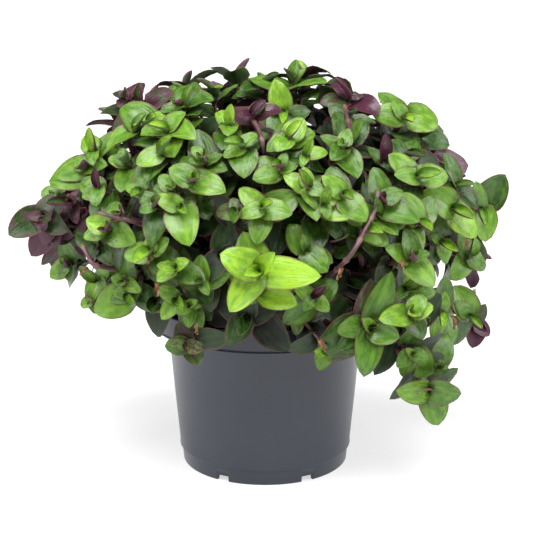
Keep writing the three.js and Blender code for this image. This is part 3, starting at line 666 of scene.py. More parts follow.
def grow_tip(tip, path, canopy, rng):
    """All the leaves of one tip: the listed ones, a rolled young one and a few older ones behind."""
    at, tone_name, listed = tip[:3]
    axis = unit(np.array(tip[3], float)) if len(tip) > 3 else tip_axis(np.array(at, float))
    tone = TONES[tone_name]
    grown = []
    listed = sorted(listed, key=lambda item: item[1])
    for n, item in enumerate(listed):
        turn, length = item[:2]
        lift = item[2] if len(item) > 2 else None
        width = item[3] if len(item) > 3 else None
        base, _ = point_on(path, 1.0 + n * NODE_STEP)
        kind = "young" if lift and lift > YOUNG_LIFT else "open"
        spec = leaf(base, axis, turn, length, tone, rng, lift, kind, width)
        placed = canopy.place(spec, HAND_TRIES)
        if placed:
            grown.append(placed)
    first = listed[0][0] if listed else 0
    purple_rolled = tone_name == "tube" or rng.random() < PURPLE_ROLLED_SHARE
    rolled_tone = (min(tone[0] + 0.12, 1.0), 0.95 if purple_rolled else tone[1])
    base, _ = point_on(path, 0.3)
    rolled = leaf(base, axis, first + 160, YOUNG_LEAF_LENGTH * rng.uniform(0.8, 1.15),
                  rolled_tone, rng, rng.uniform(48, 70), "rolled")
    grown.append(rolled)
    canopy.add(rolled)
    last = listed[-1][0] if listed else 0
    for n in range(OLDER_LEAVES):
        back = 3 + NODE_STEP * len(listed) + n * OLDER_SPACING
        base, direction = point_on(path, back)
        stem_axis = unit(axis + direction)
        turn = last + 125 + n * OLDER_TURN + rng.uniform(-20, 20)
        # older leaves further down the stem are darker: partly their own older green, partly painted
        # shade deeper in the mound
        older_and_shaded = (max(tone[0] - 0.22 - 0.12 * n, 0.04), tone[1] * 0.6 + 0.05)
        spec = leaf(base, stem_axis, turn, rng.uniform(15, 21), older_and_shaded, rng, rng.uniform(2, 22))
        placed = canopy.place(spec, FILL_TRIES)
        if placed:
            grown.append(placed)
    return grown


def grow_shoots():
    """Every shoot's stems and leaves: {name: {"stems": [path], "leaves": [spec]}}."""
    rng = random.Random(4)
    canopy = Canopy()
    bare = [(name, smooth_path(points, BRANCH_RINGS)) for name, points in BARE_STEMS]
    for name, path in bare:
        canopy.add_tree(*stem_tree(path))
    shoots = {}
    for index, (name, tips) in enumerate(FRONT_SHOOTS + back_shoots()):
        stems = []
        leaves = []
        for n, tip in enumerate(tips):
            at = np.array(tip[0], float)
            axis = unit(np.array(tip[3], float)) if len(tip) > 3 else tip_axis(at)
            if n == 0:
                path = stem_path(at, axis, index)
            else:
                start = stems[0][int(BRANCH_AT * (len(stems[0]) - 1))]
                near = at - axis * BRANCH_STRAIGHT
                middle = (start + near) / 2 + UP * BRANCH_BOW
                path = smooth_path([start, middle, near, at], BRANCH_RINGS)
            stems.append(path)
        for tip, path in zip(tips, stems):
            leaves += grow_tip(tip, path, canopy, rng)
        shoots[name] = {"stems": stems, "leaves": leaves}
    fill_canopy(shoots, canopy, rng)
    for name, path in bare:
        shoots[name]["stems"].append(path)
    return shoots


def fill_canopy(shoots, canopy, rng):
    """Side shoots inside the mound, each branching off the nearest stem, with darker leaves; the inner
    layers take the shaded tone, which is painted shade.
    """
    taken = [path[-1] for shoot in shoots.values() for path in shoot["stems"]]
    mains = {name: shoot["stems"][0] for name, shoot in shoots.items()}
    for reach, count in FILL_LAYERS:
        for i in range(count):
            height = FILL_LOWEST + FILL_HEIGHTS * ((i + 0.5) / count)
            turn = 2 * math.pi * ((i * GOLDEN) % 1) + reach * FILL_LAYER_TURN
            ring = math.sqrt(max(1 - height * height, 0))
            at = np.array([ring * math.cos(turn), ring * math.sin(turn), height])
            at = at * MOUND_RADII * reach + MOUND_CENTRE
            edge = min(max((abs(at[0]) - FILL_EDGE_START) / FILL_EDGE_WIDTH, 0), 1)
            too_low = at[2] < FILL_BOTTOM + FILL_EDGE_RISE * edge
            if too_low or min(np.linalg.norm(t - at) for t in taken) < FILL_SPACING:
                continue
            taken.append(at)
            name, start = min(
                ((name, path[int(len(path) * share)])
                 for name, path in mains.items()
                 for share in FILL_BRANCH_SHARES),
                key=lambda item: np.linalg.norm(item[1] - at) + max(item[1][2] - at[2], 0),
            )
            axis = tip_axis(at)
            near = at - axis * BRANCH_STRAIGHT
            middle = (start + near) / 2 - UP * BRANCH_BOW
            path = smooth_path([start, middle, near, at], FILL_RINGS)
            # leaves of the inner layers are painted darker as shade
            tone = rng.choice(("green", "dark", "dark")) if reach > 0.9 else "shaded"
            first = rng.uniform(0, 360)
            leaves = [
                (first + n * FILL_LEAF_TURN, rng.uniform(14, 20)) for n in range(FILL_LEAVES)
            ]
            shoots[name]["stems"].append(path)
            shoots[name]["leaves"] += grow_tip((at, tone, leaves), path, canopy, rng)

# ---------- meshes ----------

ATLAS_MARGIN = 0.06


def make_object(name, vertices, faces, materials):
    mesh = bpy.data.meshes.new(name)
    mesh.from_pydata((np.asarray(vertices) * MM).tolist(), [], faces)
    obj = bpy.data.objects.new(name, mesh)
    bpy.context.scene.collection.objects.link(obj)
    for material in materials:
        mesh.materials.append(material)
    return obj


def set_corner_uv(mesh, name, values):
    layer = mesh.uv_layers.new(name=name)
    layer.data.foreach_set("uv", np.asarray(values, np.float32).ravel())
    return layer


def set_point_value(mesh, name, values):
    layer = mesh.attributes.new(name, "FLOAT", "POINT")
    layer.data.foreach_set("value", np.asarray(values, np.float32))


def leaf_faces():
    """One leaf's faces, by the numbers of its points, with each corner's (across, along).

    The points are the upper rows, the tip, and the lower rows between the margins, which both
    sides share.
    """
    rows, columns = LEAF_STEPS, LEAF_COLUMNS
    tip = rows * (columns + 1)
    lower_start = tip + 1

    def upper(i, j):
        return i * (columns + 1) + j

    def lower(i, j):
        if j in (0, columns):
            return upper(i, j)
        return lower_start + i * (columns - 1) + j - 1

    faces, corners, sides = [], [], []
    for number, point in ((0, upper), (1, lower)):
        for i in range(rows - 1):
            for j in range(columns):
                ring = [(i, j), (i, j + 1), (i + 1, j + 1), (i + 1, j)]
                if number:
                    ring.reverse()
                faces.append([point(a, b) for a, b in ring])
                corners.append([(b / columns, a / rows) for a, b in ring])
                sides.append(number)
        for j in range(columns):
            ring = [(rows - 1, j), (rows - 1, j + 1), (rows, j + 0.5)]
            if number:
                ring.reverse()
            faces.append([tip if a == rows else point(a, b) for a, b in ring])
            corners.append([(b / columns, a / rows) for a, b in ring])
            sides.append(number)
    for j in range(columns):
        ring = [upper(0, j + 1), upper(0, j), lower(0, j), lower(0, j + 1)]
        ring = [p for k, p in enumerate(ring) if p not in ring[:k]]
        faces.append(ring)
        corners.append([(0.5, 0.0)] * len(ring))
        sides.append(1)
    margin = {upper(i, j) for i in range(rows) for j in (0, columns)} | {tip}
    return faces, corners, sides, margin, lower_start + rows * (columns - 1)


LEAF_FACES, LEAF_CORNERS, LEAF_SIDES, LEAF_MARGIN, LEAF_POINTS = leaf_faces()


def leaf_points(spec):
    grid, up = leaf_surface(spec, LEAF_STEPS, LEAF_COLUMNS)
    w = np.linspace(-1, 1, LEAF_COLUMNS + 1)
    thick = LEAF_THICKNESS * (0.35 + 0.65 * (1 - w**2)) * (0.6 + spec["length"] / 50)
    under = grid[:-1, 1:-1] - up[:-1, 1:-1] * thick[None, 1:-1, None]
    return np.concatenate([grid[:-1].reshape(-1, 3), grid[-1, :1], under.reshape(-1, 3)])


def leaves_object(name, specs, materials):
    """All the leaves of a shoot in one mesh, each one a thin closed blade."""
    points = np.concatenate([leaf_points(spec) for spec in specs])
    count = len(specs)
    faces = [
        [p + n * LEAF_POINTS for p in face] for n in range(count) for face in LEAF_FACES
    ]
    obj = make_object(name, points, faces, materials)
    mesh = obj.data
    mesh.polygons.foreach_set("material_index", np.tile(LEAF_SIDES, count))
    mesh.polygons.foreach_set("use_smooth", np.ones(len(faces), bool))
    corners = np.array([c for face in LEAF_CORNERS for c in face])
    set_corner_uv(mesh, "leaf", np.tile(corners, (count, 1)))
    cells = math.ceil(math.sqrt(2 * count))
    sides = np.array([s for face, s in zip(LEAF_CORNERS, LEAF_SIDES) for _ in face])
    cell = (np.arange(count)[:, None] * 2 + sides[None, :]).ravel()
    inside = ATLAS_MARGIN + (1 - 2 * ATLAS_MARGIN) * np.tile(corners, (count, 1))
    origin = np.stack([cell % cells, cell // cells], 1)
    set_corner_uv(mesh, "OFBake", (origin + inside) / cells)
    for key in ("tone", "purple", "seed"):
        set_point_value(mesh, key, np.repeat([spec[key] for spec in specs], LEAF_POINTS))
    margin = np.zeros(LEAF_POINTS, bool)
    margin[list(LEAF_MARGIN)] = True
    margin = np.tile(margin, count)
    edges = np.zeros(len(mesh.edges) * 2, np.int32)
    mesh.edges.foreach_get("vertices", edges)
    edges = edges.reshape(-1, 2)
    sharp = mesh.attributes.new("sharp_edge", "BOOLEAN", "EDGE")
    sharp.data.foreach_set("value", margin[edges[:, 0]] & margin[edges[:, 1]])
    mesh.validate()
    return obj


def stem_rings(path, foot, tip):
    """Points, joint strengths and ring positions of a stem that thins towards its tip."""
    length = path_length(path)
    rings = max(int(length / STEM_RING_SPACING), 5)
    line = smooth_path(path, rings + 1)
    tangent = np.gradient(line, axis=0)
    tangent /= np.linalg.norm(tangent, axis=1, keepdims=True)
    along = np.linspace(0, length, rings + 1)
    from_tip = length - along
    joint = np.zeros(rings + 1)
    for n in range(int(length / JOINT_SPACING) + 1):
        joint += np.exp(-(((from_tip - n * JOINT_SPACING - 3) / 1.5) ** 2))
    radius = (foot + (tip - foot) * along / length) * (1 + JOINT_SWELL * joint)
    side = np.cross(tangent[0], [0.31, 0.93, 0.2])
    rows = []
    for centre, direction, size in zip(line, tangent, radius):
        side = unit(side - direction * np.dot(side, direction))
        other = np.cross(direction, side)
        angles = np.arange(STEM_SIDES) * 2 * math.pi / STEM_SIDES
        ring = np.cos(angles)[:, None] * side + np.sin(angles)[:, None] * other
        rows.append(centre + size * ring)
    return np.array(rows), joint, along / length


def stem_tree(path):
    """A stem's tube without its joints, for overlap tests."""
    rings, _, _ = stem_rings(path, STEM_FOOT_RADIUS, STEM_FOOT_RADIUS)
    count, sides = rings.shape[:2]
    corners = rings.reshape(-1, 3)
    faces = []
    for i in range(count - 1):
        for j in range(sides):
            row, above, after = i * sides, (i + 1) * sides, (j + 1) % sides
            faces.append((row + j, row + after, above + after, above + j))
    centre = corners.mean(0)
    radius = np.linalg.norm(corners - centre, axis=1).max()
    return BVHTree.FromPolygons(corners.tolist(), faces), centre, radius


def stems_object(name, paths, material):
    """The stem and side stems of a shoot in one mesh, each a closed tapering tube."""
    points, faces, joints, ages, uv = [], [], [], [], []
    cells = math.ceil(math.sqrt(len(paths)))
    start = 0
    for n, path in enumerate(paths):
        thick = STEM_FOOT_RADIUS if n == 0 else STEM_FOOT_RADIUS * 0.8
        rings, joint, along = stem_rings(path, thick, STEM_TIP_RADIUS)
        count = len(rings)
        points += list(rings.reshape(-1, 3))
        joints += list(np.repeat(joint, STEM_SIDES))
        ages += list(np.repeat(along, STEM_SIDES))
        origin = np.array([n % cells, n // cells])

        def place(i, j):
            inside = np.array([j / STEM_SIDES, i / (count - 1)])
            return (origin + ATLAS_MARGIN + (1 - 2 * ATLAS_MARGIN) * inside) / cells

        for i in range(count - 1):
            for j in range(STEM_SIDES):
                k = (j + 1) % STEM_SIDES
                row, above = start + i * STEM_SIDES, start + (i + 1) * STEM_SIDES
                faces.append([row + j, row + k, above + k, above + j])
                uv += [place(i, j), place(i, j + 1), place(i + 1, j + 1), place(i + 1, j)]
        faces.append([start + j for j in reversed(range(STEM_SIDES))])
        uv += [place(0, j) for j in reversed(range(STEM_SIDES))]
        faces.append([start + (count - 1) * STEM_SIDES + j for j in range(STEM_SIDES)])
        uv += [place(count - 1, j) for j in range(STEM_SIDES)]
        start += count * STEM_SIDES
    obj = make_object(name, points, faces, [material])
    obj.data.polygons.foreach_set("use_smooth", np.ones(len(faces), bool))
    set_corner_uv(obj.data, "OFBake", uv)
    set_point_value(obj.data, "joint", np.clip(joints, 0, 1))
    set_point_value(obj.data, "along", ages)
    return obj

# ---------- materials ----------


class Shader:
    """A Principled material with short calls for the nodes that it needs."""

    def __init__(self, name):
        self.material = bpy.data.materials.new(name)
        self.material.use_nodes = True
        self.nodes = self.material.node_tree.nodes
        self.links = self.material.node_tree.links
        self.surface = self.nodes["Principled BSDF"]

    def set(self, socket, value):
        self.join(value, self.surface.inputs[socket])

    def join(self, value, socket):
        if isinstance(value, bpy.types.NodeSocket):
            self.links.new(value, socket)
        elif value is not None:
            socket.default_value = value

    def node(self, kind, output=0, inputs=None, **settings):
        made = self.nodes.new(kind)
        for key, value in settings.items():
            setattr(made, key, value)
        for key, value in (inputs or {}).items():
            self.join(value, made.inputs[key])
        return made.outputs[output]

    def value(self, name):
        return self.node("ShaderNodeAttribute", "Fac", attribute_name=name)

    def math(self, operation, a, b=None, c=None, clamp=False):
        return self.node(
            "ShaderNodeMath", inputs={0: a, 1: b, 2: c}, operation=operation, use_clamp=clamp
        )

    def noise(self, place, scale, detail=3.0, roughness=0.55):
        return self.node(
            "ShaderNodeTexNoise",
            inputs={"Vector": place, "Scale": scale, "Detail": detail, "Roughness": roughness},
        )

    def span(self, value, low, high, to_low=0.0, to_high=1.0):
        """Maps low-high smoothly onto to_low-to_high."""
        return self.node(
            "ShaderNodeMapRange",
            inputs={"Value": value, "From Min": low, "From Max": high,
                    "To Min": to_low, "To Max": to_high},
            interpolation_type="SMOOTHSTEP",
        )

    def ramp(self, value, stops):
        made = self.nodes.new("ShaderNodeValToRGB")
        elements = made.color_ramp.elements
        while len(elements) < len(stops):
            elements.new(0.5)
        for element, (position, colour) in zip(elements, stops):
            element.position = position
            element.color = (*colour, 1)
        self.join(value, made.inputs[0])
        return made.outputs[0]

    def mix(self, share, a, b, blend="MIX"):
        made = self.nodes.new("ShaderNodeMix")
        made.data_type = "RGBA"
        made.blend_type = blend
        self.join(share, made.inputs["Factor"])
        self.join((*a, 1) if isinstance(a, tuple) else a, made.inputs["A"])
        self.join((*b, 1) if isinstance(b, tuple) else b, made.inputs["B"])
        return made.outputs["Result"]

    def bump(self, height, distance, strength=1.0):
        made = self.nodes.new("ShaderNodeBump")
        made.inputs["Strength"].default_value = strength
        made.inputs["Distance"].default_value = distance * MM
        self.join(height, made.inputs["Height"])
        return made.outputs[0]

    def object_place(self):
        """The place in the shared frame, in metres."""
        return self.node("ShaderNodeTexCoord", "Object")


GREENS = [
    (0.0, (0.002, 0.005, 0.002)),
    (0.3, (0.018, 0.053, 0.007)),
    (0.55, (0.064, 0.155, 0.014)),
    (0.8, (0.138, 0.285, 0.024)),
    (1.0, (0.265, 0.475, 0.024)),
]
PURPLE = (0.062, 0.014, 0.030)
MARGIN_RED = (0.110, 0.035, 0.022)
STREAK_PALE = (0.33, 0.43, 0.16)


def leaf_coordinates(shader):
    """Across (-1 to 1), along (0 to 1) and a place that differs from leaf to leaf."""
    uv = shader.node("ShaderNodeUVMap", uv_map="leaf")
    split = shader.nodes.new("ShaderNodeSeparateXYZ")
    shader.join(uv, split.inputs[0])
    across = shader.math("MULTIPLY_ADD", split.outputs[0], 2.0, -1.0)
    along = split.outputs[1]
    seed = shader.math("MULTIPLY", shader.value("seed"), 57.0)
    return across, along, seed


def leaf_vector(shader, across, along, seed, across_scale, along_scale):
    return shader.node(
        "ShaderNodeCombineXYZ",
        inputs={
            0: shader.math("MULTIPLY", across, across_scale),
            1: shader.math("MULTIPLY", along, along_scale),
            2: seed,
        },
    )


def leaf_top_material():
    shader = Shader("leaf_upper_side")
    across, along, seed = leaf_coordinates(shader)
    edge = shader.math("ABSOLUTE", across)
    # Veins run lengthwise and close up towards the tip.
    veins = shader.noise(leaf_vector(shader, across, along, seed, 9.0, 0.7), 1.6, 2.0)
    bands = shader.noise(leaf_vector(shader, across, along, seed, 2.2, 0.5), 1.0, 1.5)
    mottle = shader.noise(leaf_vector(shader, across, along, seed, 2.0, 3.0), 1.3, 3.0)
    specks = shader.noise(leaf_vector(shader, across, along, seed, 9.0, 13.0), 1.2, 1.0)
    tone = shader.value("tone")
    tone = shader.math("ADD", tone, shader.span(veins, 0.3, 0.7, -0.035, 0.035))
    tone = shader.math("ADD", tone, shader.span(mottle, 0.3, 0.7, -0.12, 0.08))
    # darker towards the base, where the blade clasps the stem: painted shade in that crease
    tone = shader.math("ADD", tone, shader.span(along, 0.0, 0.5, -0.10, 0.03), clamp=True)
    colour = shader.ramp(tone, GREENS)
    streak = shader.math("MULTIPLY", shader.span(bands, 0.60, 0.80), 0.08)
    colour = shader.mix(streak, colour, STREAK_PALE)
    speck = shader.math("MULTIPLY", shader.span(specks, 0.66, 0.74), 0.45)
    colour = shader.mix(speck, colour, (0.05, 0.03, 0.02))
    patches = shader.span(mottle, 0.3, 0.7, -0.3, 0.3)
    blush = shader.math("MULTIPLY_ADD", shader.value("purple"), 1.3, patches)
    colour = shader.mix(shader.span(blush, 0.35, 0.85), colour, PURPLE)
    margin = shader.math("MULTIPLY", shader.span(edge, 0.87, 0.97), 0.8)
    colour = shader.mix(margin, colour, MARGIN_RED)
    tip = shader.math("MULTIPLY", shader.span(along, 0.94, 1.0), 0.7)
    colour = shader.mix(tip, colour, MARGIN_RED)
    shader.set("Base Color", colour)
    relief = shader.math("MULTIPLY_ADD", mottle, 1.6, veins)
    shade = shader.span(shader.value("tone"), 0.05, 0.35, 0.35, 0.0)
    shader.set("Roughness", shader.math("ADD", shade, shader.span(mottle, 0.3, 0.7, 0.20, 0.36)))
    shader.set("Specular IOR Level", 0.42)
    shader.set("Normal", shader.bump(relief, 0.22, 0.8))
    return shader.material


def leaf_underside_material():
    shader = Shader("leaf_underside")
    across, along, seed = leaf_coordinates(shader)
    edge = shader.math("ABSOLUTE", across)
    veins = shader.noise(leaf_vector(shader, across, along, seed, 8.0, 0.7), 1.5, 2.0)
    mottle = shader.noise(leaf_vector(shader, across, along, seed, 2.0, 2.4), 1.3, 3.0)
    tone = shader.math("MULTIPLY_ADD", shader.value("tone"), 0.55, 0.12)
    tone = shader.math("ADD", tone, shader.span(veins, 0.3, 0.7, -0.06, 0.06), clamp=True)
    green = shader.mix(0.35, shader.ramp(tone, GREENS), (0.17, 0.20, 0.14))
    share = shader.math("ADD", shader.value("purple"), shader.span(seed, 10.0, 50.0, -0.1, 0.7))
    share = shader.math("ADD", share, shader.span(mottle, 0.3, 0.7, -0.3, 0.3))
    share = shader.span(share, 0.2, 0.7)
    plum = shader.mix(shader.span(veins, 0.35, 0.65), (0.075, 0.018, 0.045), (0.150, 0.055, 0.090))
    colour = shader.mix(share, green, plum)
    margin = shader.math("MULTIPLY", shader.span(edge, 0.88, 0.99), 0.7)
    colour = shader.mix(margin, colour, (0.17, 0.055, 0.045))
    shader.set("Base Color", colour)
    shader.set("Roughness", shader.span(shader.value("tone"), 0.1, 0.6, 0.70, 0.44))
    shader.set("Specular IOR Level", 0.28)
    shader.set("Normal", shader.bump(veins, 0.10, 0.6))
    return shader.material


def stem_material():
    shader = Shader("stem")
    place = shader.object_place()
    grain = shader.noise(place, 900.0, 3.0)
    blotch = shader.noise(place, 110.0, 2.0)
    age = shader.math("ADD", shader.value("along"), shader.span(blotch, 0.3, 0.7, -0.25, 0.25))
    colour = shader.ramp(age, [
        (0.0, (0.070, 0.034, 0.030)),
        (0.45, (0.085, 0.030, 0.038)),
        (0.75, (0.100, 0.045, 0.048)),
        (1.0, (0.120, 0.100, 0.045)),
    ])
    colour = shader.mix(shader.span(grain, 0.45, 0.7, 0.0, 0.35), colour, (0.06, 0.02, 0.03))
    colour = shader.mix(shader.math("MULTIPLY", shader.value("joint"), 0.5), colour,
                        (0.26, 0.15, 0.12))
    shader.set("Base Color", colour)
    shader.set("Roughness", shader.span(grain, 0.3, 0.7, 0.36, 0.52))
    shader.set("Normal", shader.bump(grain, 0.15, 0.5))
    return shader.material


def pot_material():
    shader = Shader("pot_plastic")
    place = shader.object_place()
    grain = shader.noise(place, 1400.0, 2.0)
    cloud = shader.noise(place, 26.0, 3.0)
    colour = shader.mix(shader.span(cloud, 0.3, 0.7), (0.018, 0.023, 0.034), (0.023, 0.029, 0.042))
    shader.set("Base Color", colour)
    shader.set("Roughness", shader.span(cloud, 0.3, 0.7, 0.30, 0.37))
    shader.set("Specular IOR Level", 0.5)
    shader.set("Normal", shader.bump(grain, 0.03, 0.25))
    return shader.material


def pot_lip_material():
    shader = Shader("pot_lip_gloss_and_painted_highlight")
    cloud = shader.noise(shader.object_place(), 60.0, 2.0)
    # the lip's upward face gets a lighter grey than the rest of the pot: a painted highlight; its
    # lower roughness is real gloss
    colour = shader.mix(shader.span(cloud, 0.3, 0.7), (0.030, 0.034, 0.042), (0.040, 0.045, 0.056))
    shader.set("Base Color", colour)
    shader.set("Roughness", shader.span(cloud, 0.3, 0.7, 0.16, 0.24))
    return shader.material


def soil_material():
    shader = Shader("potting_soil")
    place = shader.object_place()
    coarse = shader.noise(place, 190.0, 4.0)
    fine = shader.noise(place, 900.0, 4.0)
    colour = shader.ramp(coarse, [
        (0.30, (0.012, 0.008, 0.006)),
        (0.50, (0.030, 0.019, 0.012)),
        (0.66, (0.060, 0.037, 0.022)),
        (0.80, (0.110, 0.075, 0.045)),
    ])
    shader.set("Base Color", colour)
    shader.set("Roughness", 0.92)
    shader.set("Normal", shader.bump(fine, 1.2, 0.9))
    return shader.material


def dried_leaf_material():
    shader = Shader("dried_leaf")
    place = shader.object_place()
    fibre = shader.noise(place, 420.0, 4.0)
    colour = shader.ramp(fibre, [
        (0.30, (0.060, 0.022, 0.009)),
        (0.50, (0.185, 0.080, 0.028)),
        (0.70, (0.360, 0.200, 0.095)),
    ])
    shader.set("Base Color", colour)
    shader.set("Roughness", 0.62)
    shader.set("Normal", shader.bump(fibre, 0.3, 0.8))
    return shader.material


def floor_material():
    shader = Shader("studio_floor")
    cloud = shader.noise(shader.object_place(), 3.0, 2.0)
    shader.set("Base Color", shader.mix(cloud, (0.40, 0.40, 0.40), (0.42, 0.42, 0.42)))
    shader.set("Roughness", 0.9)
    shader.set("Emission Color", (1, 1, 1, 1))
    shader.set("Emission Strength", 0.62)
    return shader.material

# ---------- pot and soil ----------


def arc(centre, radius, start, stop, steps):
    angles = np.radians(np.linspace(start, stop, steps + 1))
    return [(centre[0] + radius * math.cos(a), centre[1] + radius * math.sin(a)) for a in angles]


def rim_low():
    return POT_HEIGHT - RIM_BAND_HEIGHT


def pot_profile():
    """Radius and height from the middle of the floor's underside, round the outside and back in."""
    low = rim_low()
    band_radius = RIM_RADIUS - RIM_BAND_TAPER
    inner = RIM_RADIUS - LIP_WIDTH
    wall_inside = WALL_TOP_RADIUS - WALL_THICKNESS
    floor_top = FLOOR_RISE + WALL_THICKNESS
    foot_inside = FOOT_BOTTOM_RADIUS - 2.2
    outside = [(0, FLOOR_RISE), (foot_inside - 1.5, FLOOR_RISE)]
    outside += arc((foot_inside + 0.5, 0.5), 0.5, 180, 270, 3)
    outside += arc((FOOT_BOTTOM_RADIUS - 0.6, 0.6), 0.6, 270, 360, 4)
    outside += [(FOOT_TOP_RADIUS, FOOT_HEIGHT - 0.5)]
    outside += arc((FOOT_TOP_RADIUS + 0.5, FOOT_HEIGHT - 0.5), 0.5, 180, 90, 3)
    outside += arc((WALL_BOTTOM_RADIUS - 0.6, FOOT_HEIGHT + 0.6), 0.8, 270, 360, 4)
    outside += [(WALL_BOTTOM_RADIUS + 0.02, FOOT_HEIGHT + 2.2)]
    outside += [(WALL_TOP_RADIUS, low + 1.0), (WALL_TOP_RADIUS + 0.8, low + 2.5)]
    outside += [(band_radius - 1.3, low + 2.5)]
    outside += [(band_radius - 1.3, low + 0.5)]
    outside += arc((band_radius - 0.3, low + 0.7), 0.7, 210, 360, 6)
    outside += arc((band_radius - 0.3, low + 0.7), 0.7, 0, 60, 3)
    outside += [(band_radius + 0.05, low + 2.2)]
    outside += arc((RIM_RADIUS - 0.7, POT_HEIGHT - 0.7), 0.7, 0, 90, 5)
    lip = [(inner + 0.5, POT_HEIGHT)]
    lip += arc((inner + 0.5, POT_HEIGHT - 0.5), 0.5, 90, 180, 3)
    inside = [(inner, low + 3.5), (wall_inside + 1.2, low + 2.0), (wall_inside, low)]
    inside += [(WALL_BOTTOM_RADIUS - WALL_THICKNESS, floor_top + 2.0)]
    inside += arc((WALL_BOTTOM_RADIUS - WALL_THICKNESS - 2, floor_top + 2), 2.0, 0, -90, 4)
    inside += [(0, floor_top)]
    return outside, lip, inside


def lathe(name, profile, sides, materials, material_of=lambda r, z: 0):
    """Turns a profile that starts and ends on the axis into a closed mesh."""
    vertices, faces, kinds, corners, atlas = [], [], [], [], []
    lengths = [0]
    for (r0, z0), (r1, z1) in zip(profile, profile[1:]):
        lengths.append(lengths[-1] + math.hypot(r1 - r0, z1 - z0))
    total = lengths[-1]
    for k in range(sides):
        turn = 2 * math.pi * k / sides
        for r, z in profile[1:-1]:
            vertices.append((r * math.cos(turn), r * math.sin(turn), z))
    per = len(profile) - 2
    bottom, top = len(vertices), len(vertices) + 1
    vertices += [(0, 0, profile[0][1]), (0, 0, profile[-1][1])]
    for k in range(sides):
        after = (k + 1) % sides
        here, there = k * per, after * per
        u0, u1 = k / sides, (k + 1) / sides
        faces.append([bottom, there, here])
        atlas.append([(u0, 0), (u1, lengths[1] / total), (u0, lengths[1] / total)])
        kinds.append(material_of(*profile[1]))
        for n in range(per - 1):
            faces.append([here + n, there + n, there + n + 1, here + n + 1])
            v0, v1 = lengths[n + 1] / total, lengths[n + 2] / total
            atlas.append([(u0, v0), (u1, v0), (u1, v1), (u0, v1)])
            r = (profile[n + 1][0] + profile[n + 2][0]) / 2
            z = (profile[n + 1][1] + profile[n + 2][1]) / 2
            kinds.append(material_of(r, z))
        faces.append([here + per - 1, there + per - 1, top])
        atlas.append([(u0, lengths[-2] / total), (u1, lengths[-2] / total), (u0, 1)])
        kinds.append(material_of(*profile[-2]))
    obj = make_object(name, vertices, faces, materials)
    obj.data.polygons.foreach_set("material_index", np.array(kinds, np.int32))
    obj.data.polygons.foreach_set("use_smooth", np.ones(len(faces), bool))
    set_corner_uv(obj.data, "OFBake", [corner for face in atlas for corner in face])
    return obj


def build_pot():
    outside, lip, inside = pot_profile()
    profile = outside + lip + inside

    def material_of(r, z):
        return 1 if z > POT_HEIGHT - 0.4 and r < RIM_RADIUS - 0.3 else 0

    obj = lathe("pot_body", profile, POT_SIDES, [pot_material(), pot_lip_material()], material_of)
    cutters = []
    for k in range(NOTCHES):
        turn = 2 * math.pi / NOTCHES * k
        bpy.ops.mesh.primitive_cube_add(size=1)
        cutter = bpy.context.object
        cutter.scale = (NOTCH_CUT * MM, NOTCH_WIDTH * MM, 2 * NOTCH_HEIGHT * MM)
        cutter.location = (
            FOOT_BOTTOM_RADIUS * math.cos(turn) * MM,
            FOOT_BOTTOM_RADIUS * math.sin(turn) * MM,
            0,
        )
        cutter.rotation_euler = (0, 0, turn)
        cutters.append(cutter)
    bpy.ops.object.select_all(action="DESELECT")
    for cutter in cutters:
        cutter.select_set(True)
    bpy.context.view_layer.objects.active = cutters[0]
    bpy.ops.object.join()
    cutter = cutters[0]
    cut = obj.modifiers.new("notches", "BOOLEAN")
    cut.object = cutter
    cut.solver = "EXACT"
    bpy.context.view_layer.objects.active = obj
    bpy.ops.object.modifier_apply(modifier="notches")
    bpy.data.objects.remove(cutter)
    with bpy.context.temp_override(object=obj, active_object=obj, selected_objects=[obj]):
        bpy.ops.object.shade_auto_smooth(angle=math.radians(SMOOTH_ANGLE))
    return obj


def build_soil():
    """A lumpy crown of soil with chips of bark and perlite bedded in it."""
    rng = random.Random(11)
    radius = WALL_TOP_RADIUS - WALL_THICKNESS - 0.4
    profile = [(0, SOIL_TOP - 8), (radius - 1, SOIL_TOP - 8), (radius, SOIL_TOP - 1)]
    profile += [
        (radius * math.cos(a), SOIL_TOP + SOIL_CROWN * math.sin(a))
        for a in np.radians(np.linspace(3, 90, 26))
    ]
    profile[-1] = (0, SOIL_TOP + SOIL_CROWN)
    obj = lathe("soil_surface", profile, SOIL_SIDES, [soil_material()])
    for vertex in obj.data.vertices:
        x, y, z = (c / MM for c in vertex.co)
        if z > SOIL_TOP - 0.5:
            lump = math.sin(x * 0.61 + 2.1 * math.sin(y * 0.27)) * math.sin(y * 0.53 + x * 0.17)
            lump += 0.5 * math.sin(x * 1.7 + y * 0.9) * math.sin(y * 1.9 - x * 0.6)
            edge = min((radius - math.hypot(x, y)) / 6, 1)
            vertex.co.z += max(lump, -1.2) * 0.9 * max(edge, 0) * MM
    return [obj, soil_chips(rng, radius)]


def soil_chips(rng, radius):
    """Bits of bark and coir lying on the soil: squashed, dented icospheres in one mesh."""
    points, faces = [], []
    for _ in range(SOIL_CHIPS):
        ring = radius * math.sqrt(rng.random()) * 0.97
        turn = rng.uniform(0, 2 * math.pi)
        size = rng.uniform(0.9, 2.4)
        height = SOIL_TOP + SOIL_CROWN * (1 - (ring / radius) ** 2) + 0.5
        ball = bmesh.new()
        bmesh.ops.create_icosphere(ball, subdivisions=1, radius=1.0)
        tilt = rng.uniform(0, math.pi)
        start = len(points)
        for vertex in ball.verts:
            x, y, z = vertex.co
            dent = rng.uniform(0.75, 1.15)
            x, y = x * dent * size * 1.5, y * dent * size * 0.8
            points.append((
                ring * math.cos(turn) + x * math.cos(tilt) - y * math.sin(tilt),
                ring * math.sin(turn) + x * math.sin(tilt) + y * math.cos(tilt),
                height + z * size * 0.45 * dent,
            ))
        faces += [[start + v.index for v in face.verts] for face in ball.faces]
        ball.free()
    return make_object("soil_chips", points, faces, [soil_material()])

# ---------- pieces ----------

